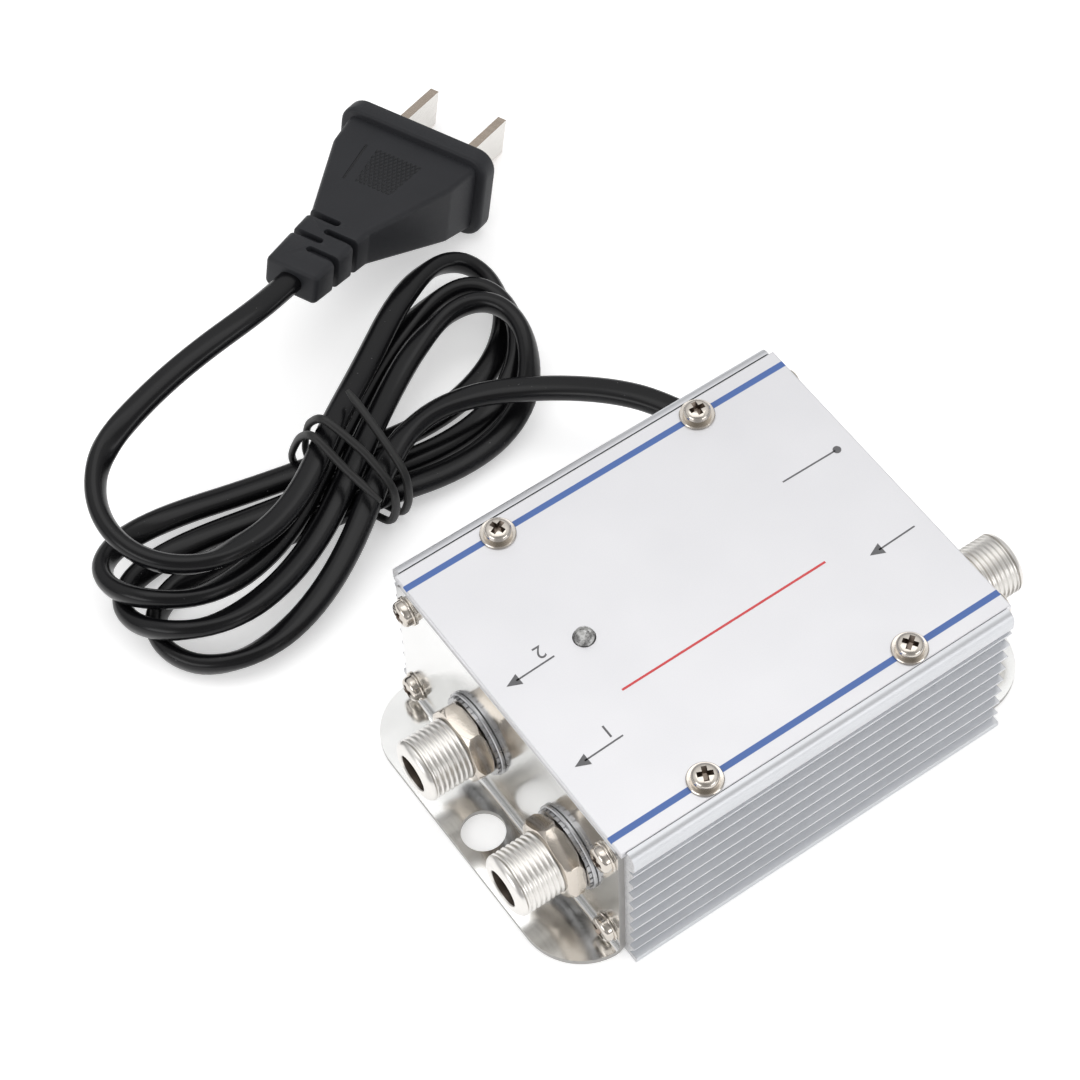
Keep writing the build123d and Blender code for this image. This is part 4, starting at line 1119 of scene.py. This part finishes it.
# %% Blasted cover
stripe_inner, stripe_outer = 23.6 * mm, 24.6 * mm
blasted, shader, wire = new_finish("blasted_cover")
_, y, z = axes(wire)
sand, cloud = grain(wire, 0.16 * mm, 3), grain(wire, 14 * mm)
on_top = z.above((cover_top - 0.3) * mm, 0.05 * mm)
stripe = abs(y).between(stripe_inner, stripe_outer, 0.06 * mm) * on_top
blasted_color = (sand * 0.5 + cloud * 0.5).mix((0.65, 0.65, 0.67), (0.78, 0.775, 0.79))
cover_color = stripe.mix(blasted_color, sand.mix((0.06, 0.13, 0.38), (0.09, 0.18, 0.46)))
paint(shader, cover_color, sand.span(0.36, 0.5), relief(wire, sand, 0.006 * mm))
(0.85 - stripe * 0.75).into(shader, "Metallic")
wear("top_cover", blasted)
print("stripes", round((stripe_outer - stripe_inner) / mm, 1), "mm wide")

# %% [markdown]
# ## Black soft plastic
#
# Cord, grommet, tie and plug are all black, yet they don't look alike. The cord has a satin skin that
# catches long highlights, and the plug is matt and a little grey. Both have a fine moulded grain. The
# plug's grip patch is a hatch of shallow grooves on both wide faces, drawn in the plug's own frame,
# and its grooves, like the long groove beside it, are painted darker as painted shade.

# %% Cord, tie and grommet
def soft_black(name, dark, light, roughness, depth, gloss=0.4):
    """A moulded skin between two near blacks, with a fine grain of this depth and a little dust."""
    finish, shader, wire = new_finish(name, {"Specular IOR Level": gloss})
    cloud, fine = grain(wire, 5 * mm, 3), grain(wire, 0.3 * mm, 2)
    dust = grain(wire, 0.5 * mm, 1).above(0.80, 0.05)
    skin = (cloud * 0.6 + fine * 0.4).mix(dark, light)
    dusty, dullness = (dust * 0.25).mix(skin, (0.3, 0.3, 0.3)), (cloud * 0.5 + fine * 0.5).span(*roughness)
    paint(shader, dusty, dullness, relief(wire, fine, depth * mm))
    return finish


cord_tones = (0.0025, 0.0025, 0.003), (0.006, 0.006, 0.007)
grommet_tones = (0.012, 0.012, 0.013), (0.02, 0.02, 0.022)
tie_tones = (0.010, 0.010, 0.010), (0.020, 0.020, 0.020)
wear(cord, soft_black("cord_satin_black", *cord_tones, (0.18, 0.3), 0.004, gloss=0.28))
wear("cord_grommet", soft_black("grommet_black", *grommet_tones, (0.4, 0.5), 0.008))
wear(tie, soft_black("tie_black", *tie_tones, (0.4, 0.55), 0.01))

# %% Plug skin with its grip patch
flare, hatch_pitch, hatch_slant = 0.12, 0.8 * mm, 0.55
patch_start, patch_end = 22.4 * mm, 30.4 * mm
plug_skin, shader, wire = new_finish("plug_matt_black", {"Specular IOR Level": 0.35})
centred = wire.node("VectorMath", {"operation": "SUBTRACT"}, {
    0: wire.node("TexCoord", output="Object"), 1: tuple(plug_cord_end),
})
side_way, high_way, long_way = [centred.along(way) for way in (plug_sideways, plug_up, plug_heading)]
on_wide_faces = abs(high_way).above(3.9 * mm, 0.1 * mm)
patch_half = (long_way - patch_start) * flare + 3.1 * mm
patch = 1 - (abs(side_way + 0.4 * mm) - patch_half).above(0, 0.12 * mm)
patch = patch * long_way.between(patch_start, patch_end, 0.15 * mm) * on_wide_faces
waves = [wire.maths("SINE", (side_way + long_way * slant) * (2 * math.pi / hatch_pitch))
         for slant in (hatch_slant, -hatch_slant)]
hatch = (waves[0] + waves[1]) * 0.25 + 0.5
groove_side = abs(side_way - (long_way - 22.0 * mm) * flare - 4.6 * mm)
groove = (1 - groove_side.above(0.16 * mm, 0.1 * mm)) * long_way.between(21.9 * mm, 30.3 * mm, 0.2 * mm)
groove = groove * on_wide_faces
fine, cloud = grain(wire, 0.28 * mm, 3), grain(wire, 6 * mm, 2)
skin_tone = (fine * 0.4 + cloud * 0.6).mix((0.011, 0.0115, 0.014), (0.019, 0.020, 0.024))
# Painted shade: the hatch grooves and the long groove are darkened in the colour.
plug_color = (patch * (1 - hatch) * 0.8 + groove * 0.8).mix(skin_tone, (0.008, 0.008, 0.009))
plug_relief = relief(wire, fine * 0.06 + patch * hatch - patch * 0.8 - groove, 0.22 * mm)
paint(shader, plug_color, fine.span(0.46, 0.6), plug_relief)
wear(plug, plug_skin)
print("plug skin:", len(wire.tree.nodes), "nodes")

# %% [markdown]
# ## Blades
#
# The blades are plated brass. Their wide faces are bright, and their sheared edges show a warmer
# tone, because the plating is thin there. The direction that a face looks in tells the two apart.

# %% Plated blades with warm edges
blade_finish, shader, wire = new_finish("blade_plated", metal)
flatness = abs(wire.node("TexCoord", output="Normal").along(plug_sideways))
wipes = grain(wire, 1.0, 3, object_place(wire, (500, 500, 3000)))
bright = wipes.mix((0.62, 0.60, 0.57), (0.76, 0.74, 0.71))
warm = wipes.mix((0.50, 0.42, 0.34), (0.64, 0.55, 0.46))
blade_color = flatness.above(0.6, 0.3).mix(warm, bright)
paint(shader, blade_color, wipes.span(0.16, 0.3), relief(wire, wipes, 0.004 * mm))
wear("plug_blades", blade_finish)

# %% [markdown]
# ## Lamp, ink and the small inner parts
#
# The lens is clear, and in the photograph its small dome shows bright and dark patches of all that it
# bends and mirrors. A glass shader would show this scene's own patches instead, so a soft noise sets
# them, and makes them more or less see-through. Ink is matt. The parts on the board are hidden under
# the cover, but a part that is taken apart shows them, so each kind gets a grainy finish of its own
# colours from one short recipe.

# %% Clear lens
lens, shader, wire = new_finish("clear_lens_moulding", {"IOR": 1.5, "Specular IOR Level": 1.0})
# The noise paints bright and dark patches into the lens colour: painted reflections of what the dome mirrors
# and bends.
painted_reflections = grain(wire, 0.9 * mm, 2).above(0.5, 0.16)
painted_reflections.mix((0.13, 0.125, 0.12), (0.93, 0.93, 0.90)).into(shader, "Base Color")
painted_reflections.span(0.03, 0.09).into(shader, "Roughness")
painted_reflections.span(0.62, 0.34).into(shader, "Alpha")
wear("status_led", lens)

# %% Inks
def ink(name, dark, light):
    """A matt print with a fine speck."""
    finish, shader, wire = new_finish(name)
    speck = grain(wire, 0.25 * mm, 3)
    paint(shader, speck.mix(dark, light), speck.span(0.45, 0.65), relief(wire, speck, 0.004 * mm))
    return finish


grey_ink = ink("grey_ink", (0.11, 0.11, 0.115), (0.16, 0.16, 0.165))
for mark in (*arrows, dot, *numerals):
    wear(mark, grey_ink)
wear(red_rule, ink("red_ink", (0.62, 0.05, 0.06), (0.75, 0.09, 0.09)))

# %% Inner parts
def grained(name, dark, light, roughness, metallic=0.0, size=1.0, stretch=(1, 1, 1)):
    """Two tones, their roughness and a fine relief, all from one grain."""
    finish, shader, wire = new_finish(name, {"Metallic": metallic})
    coarse = grain(wire, size, 3, object_place(wire, [scale / mm for scale in stretch]))
    dullness = coarse.span(roughness * 0.8, min(1, roughness * 1.25))
    paint(shader, coarse.mix(dark, light), dullness, relief(wire, coarse, 0.01 * mm))
    return finish


inner_finishes = {
    # The insulators sit deep in the socket bores and get a dark brown tone.
    "dark_moulding": ([name + "_insulator" for name in socket_spots],
                      (0.07, 0.06, 0.05), (0.13, 0.11, 0.095), 0.45),
    "bare_brass": ([name + "_contact" for name in socket_spots],
                   (0.58, 0.42, 0.2), (0.8, 0.62, 0.34), 0.28, 1.0, 0.6),
    "tinned": (["led_leads", "socket_wires"], (0.5, 0.5, 0.5), (0.72, 0.72, 0.72), 0.35, 1.0, 0.5),
    "paper_laminate": (["circuit_board"], (0.33, 0.21, 0.08), (0.48, 0.33, 0.15), 0.5, 0.0, 2.0, (1, 3, 3)),
    "pressed_card": (["insulating_sheet"], (0.68, 0.67, 0.6), (0.82, 0.81, 0.75), 0.8, 0.0, 0.7),
    "stacked_steel": (["transformer_core"],
                      (0.10, 0.10, 0.11), (0.24, 0.24, 0.26), 0.4, 0.8, 1.2, (0.2, 3, 0.2)),
    "bobbin_black": (["transformer_bobbin"], (0.02, 0.02, 0.022), (0.045, 0.045, 0.05), 0.5),
    "yellow_tape": (["transformer_winding"],
                    (0.62, 0.42, 0.05), (0.78, 0.58, 0.10), 0.3, 0.0, 2.5, (1, 1, 4)),
    "blue_sleeve": (["filter_capacitor", "small_capacitors"],
                    (0.01, 0.02, 0.08), (0.03, 0.05, 0.15), 0.3, 0.0, 3.0),
    "black_epoxy": (["rectifier_diodes", "regulator", "transistors"],
                    (0.01, 0.01, 0.011), (0.03, 0.03, 0.032), 0.5),
    "dark_ferrite": (["splitter_cores"], (0.02, 0.018, 0.018), (0.06, 0.055, 0.055), 0.45, 0.0, 0.6),
    "ochre_ceramic": (["ceramic_capacitors"], (0.42, 0.18, 0.03), (0.58, 0.28, 0.07), 0.4),
    "tan_resistor": (["resistors"], (0.46, 0.32, 0.17), (0.62, 0.47, 0.28), 0.45),
    "brown_insulation": (["mains_wires"], (0.07, 0.025, 0.01), (0.13, 0.05, 0.02), 0.35, 0.0, 1.5),
}
for name, (nodes, *recipe) in inner_finishes.items():
    finish = grained(name, *recipe)
    for node in nodes:
        wear(node, finish)
wear(cup, bpy.data.materials["tinned"])
print("finishes:", len(bpy.data.materials))
print("nodes that a new piece stands for:", [name for name in frame["nodes"] if name not in dressed])

# %% [markdown]
# ## Floor and light
#
# The object lies on a plain white table under soft light from all sides, so its shadows are faint.
# Bright metal only looks like metal if something darker is mirrored in it, so the world fades from
# white overhead to grey at the horizon, with a softly edged grey disc on the side that the photograph
# was taken from, where a light tent is open. Large soft lamps stand round the object.

# %% Floor
start_fresh()
bpy.ops.mesh.primitive_plane_add(size=4.0, location=(0, 0, -0.02 * mm))
floor = named("studio_floor")
white_table, shader, wire = new_finish("white_table", {
    "Roughness": 0.7, "Specular IOR Level": 0.1, "Emission Color": (1, 1, 1, 1), "Emission Strength": 0.42,
})
grain(wire, 30 * mm, 2).mix((0.90, 0.90, 0.90), (0.92, 0.92, 0.92)).into(shader, "Base Color")
wear(floor, white_table)

# %% World and lamps
white, horizon_grey, disc_grey = (1.0, 1.0, 1.0), (0.30, 0.30, 0.31), (0.36, 0.355, 0.35)
world = bpy.data.worlds.new("light_tent")
bpy.context.scene.world = world
world.use_nodes = True
sky = Wire(world.node_tree)
direction = sky.node("TexCoord", output="Generated")
height = sky.node("SeparateXYZ", inputs={0: direction}, output=2)
tent = sky.node("ValToRGB", {"stops": (
    (0.0, (0.5, 0.5, 0.5)), (0.08, horizon_grey), (0.35, (0.62, 0.62, 0.63)), (0.75, white), (1.0, white),
)}, {0: height})
disc = direction.along(back).above(0.78, 0.4)
background = world.node_tree.nodes["Background"]
background.inputs["Strength"].default_value = 1.0
disc.mix(tent, disc_grey).into(background, "Color")


def soft_lamp(name, place, aim, size, power):
    """A large flat lamp at a place in metres, turned to its aim."""
    start_fresh()
    bpy.ops.object.light_add(type="AREA", location=place)
    lamp = bpy.context.object
    lamp.name = name
    lamp.data.shape = "RECTANGLE"
    lamp.data.size, lamp.data.size_y = size
    lamp.data.energy = power
    lamp.rotation_euler = (Vector(aim) - Vector(place)).to_track_quat("-Z", "Y").to_euler()


soft_lamp("overhead_tent", (0.05, 0.12, 0.75), (0, 0.03, 0), (0.7, 0.5), 1.1)
soft_lamp("left_tent", (-0.75, -0.1, 0.35), (0, 0, 0.01), (0.5, 0.4), 1.4)
soft_lamp("front_tent", (0.25, -0.75, 0.3), (0, 0, 0.01), (0.5, 0.3), 1.0)
bpy.context.scene.view_settings.view_transform = "Standard"
bpy.context.scene.view_settings.exposure = 0.0

# %% The end
bpy.context.view_layer.update()
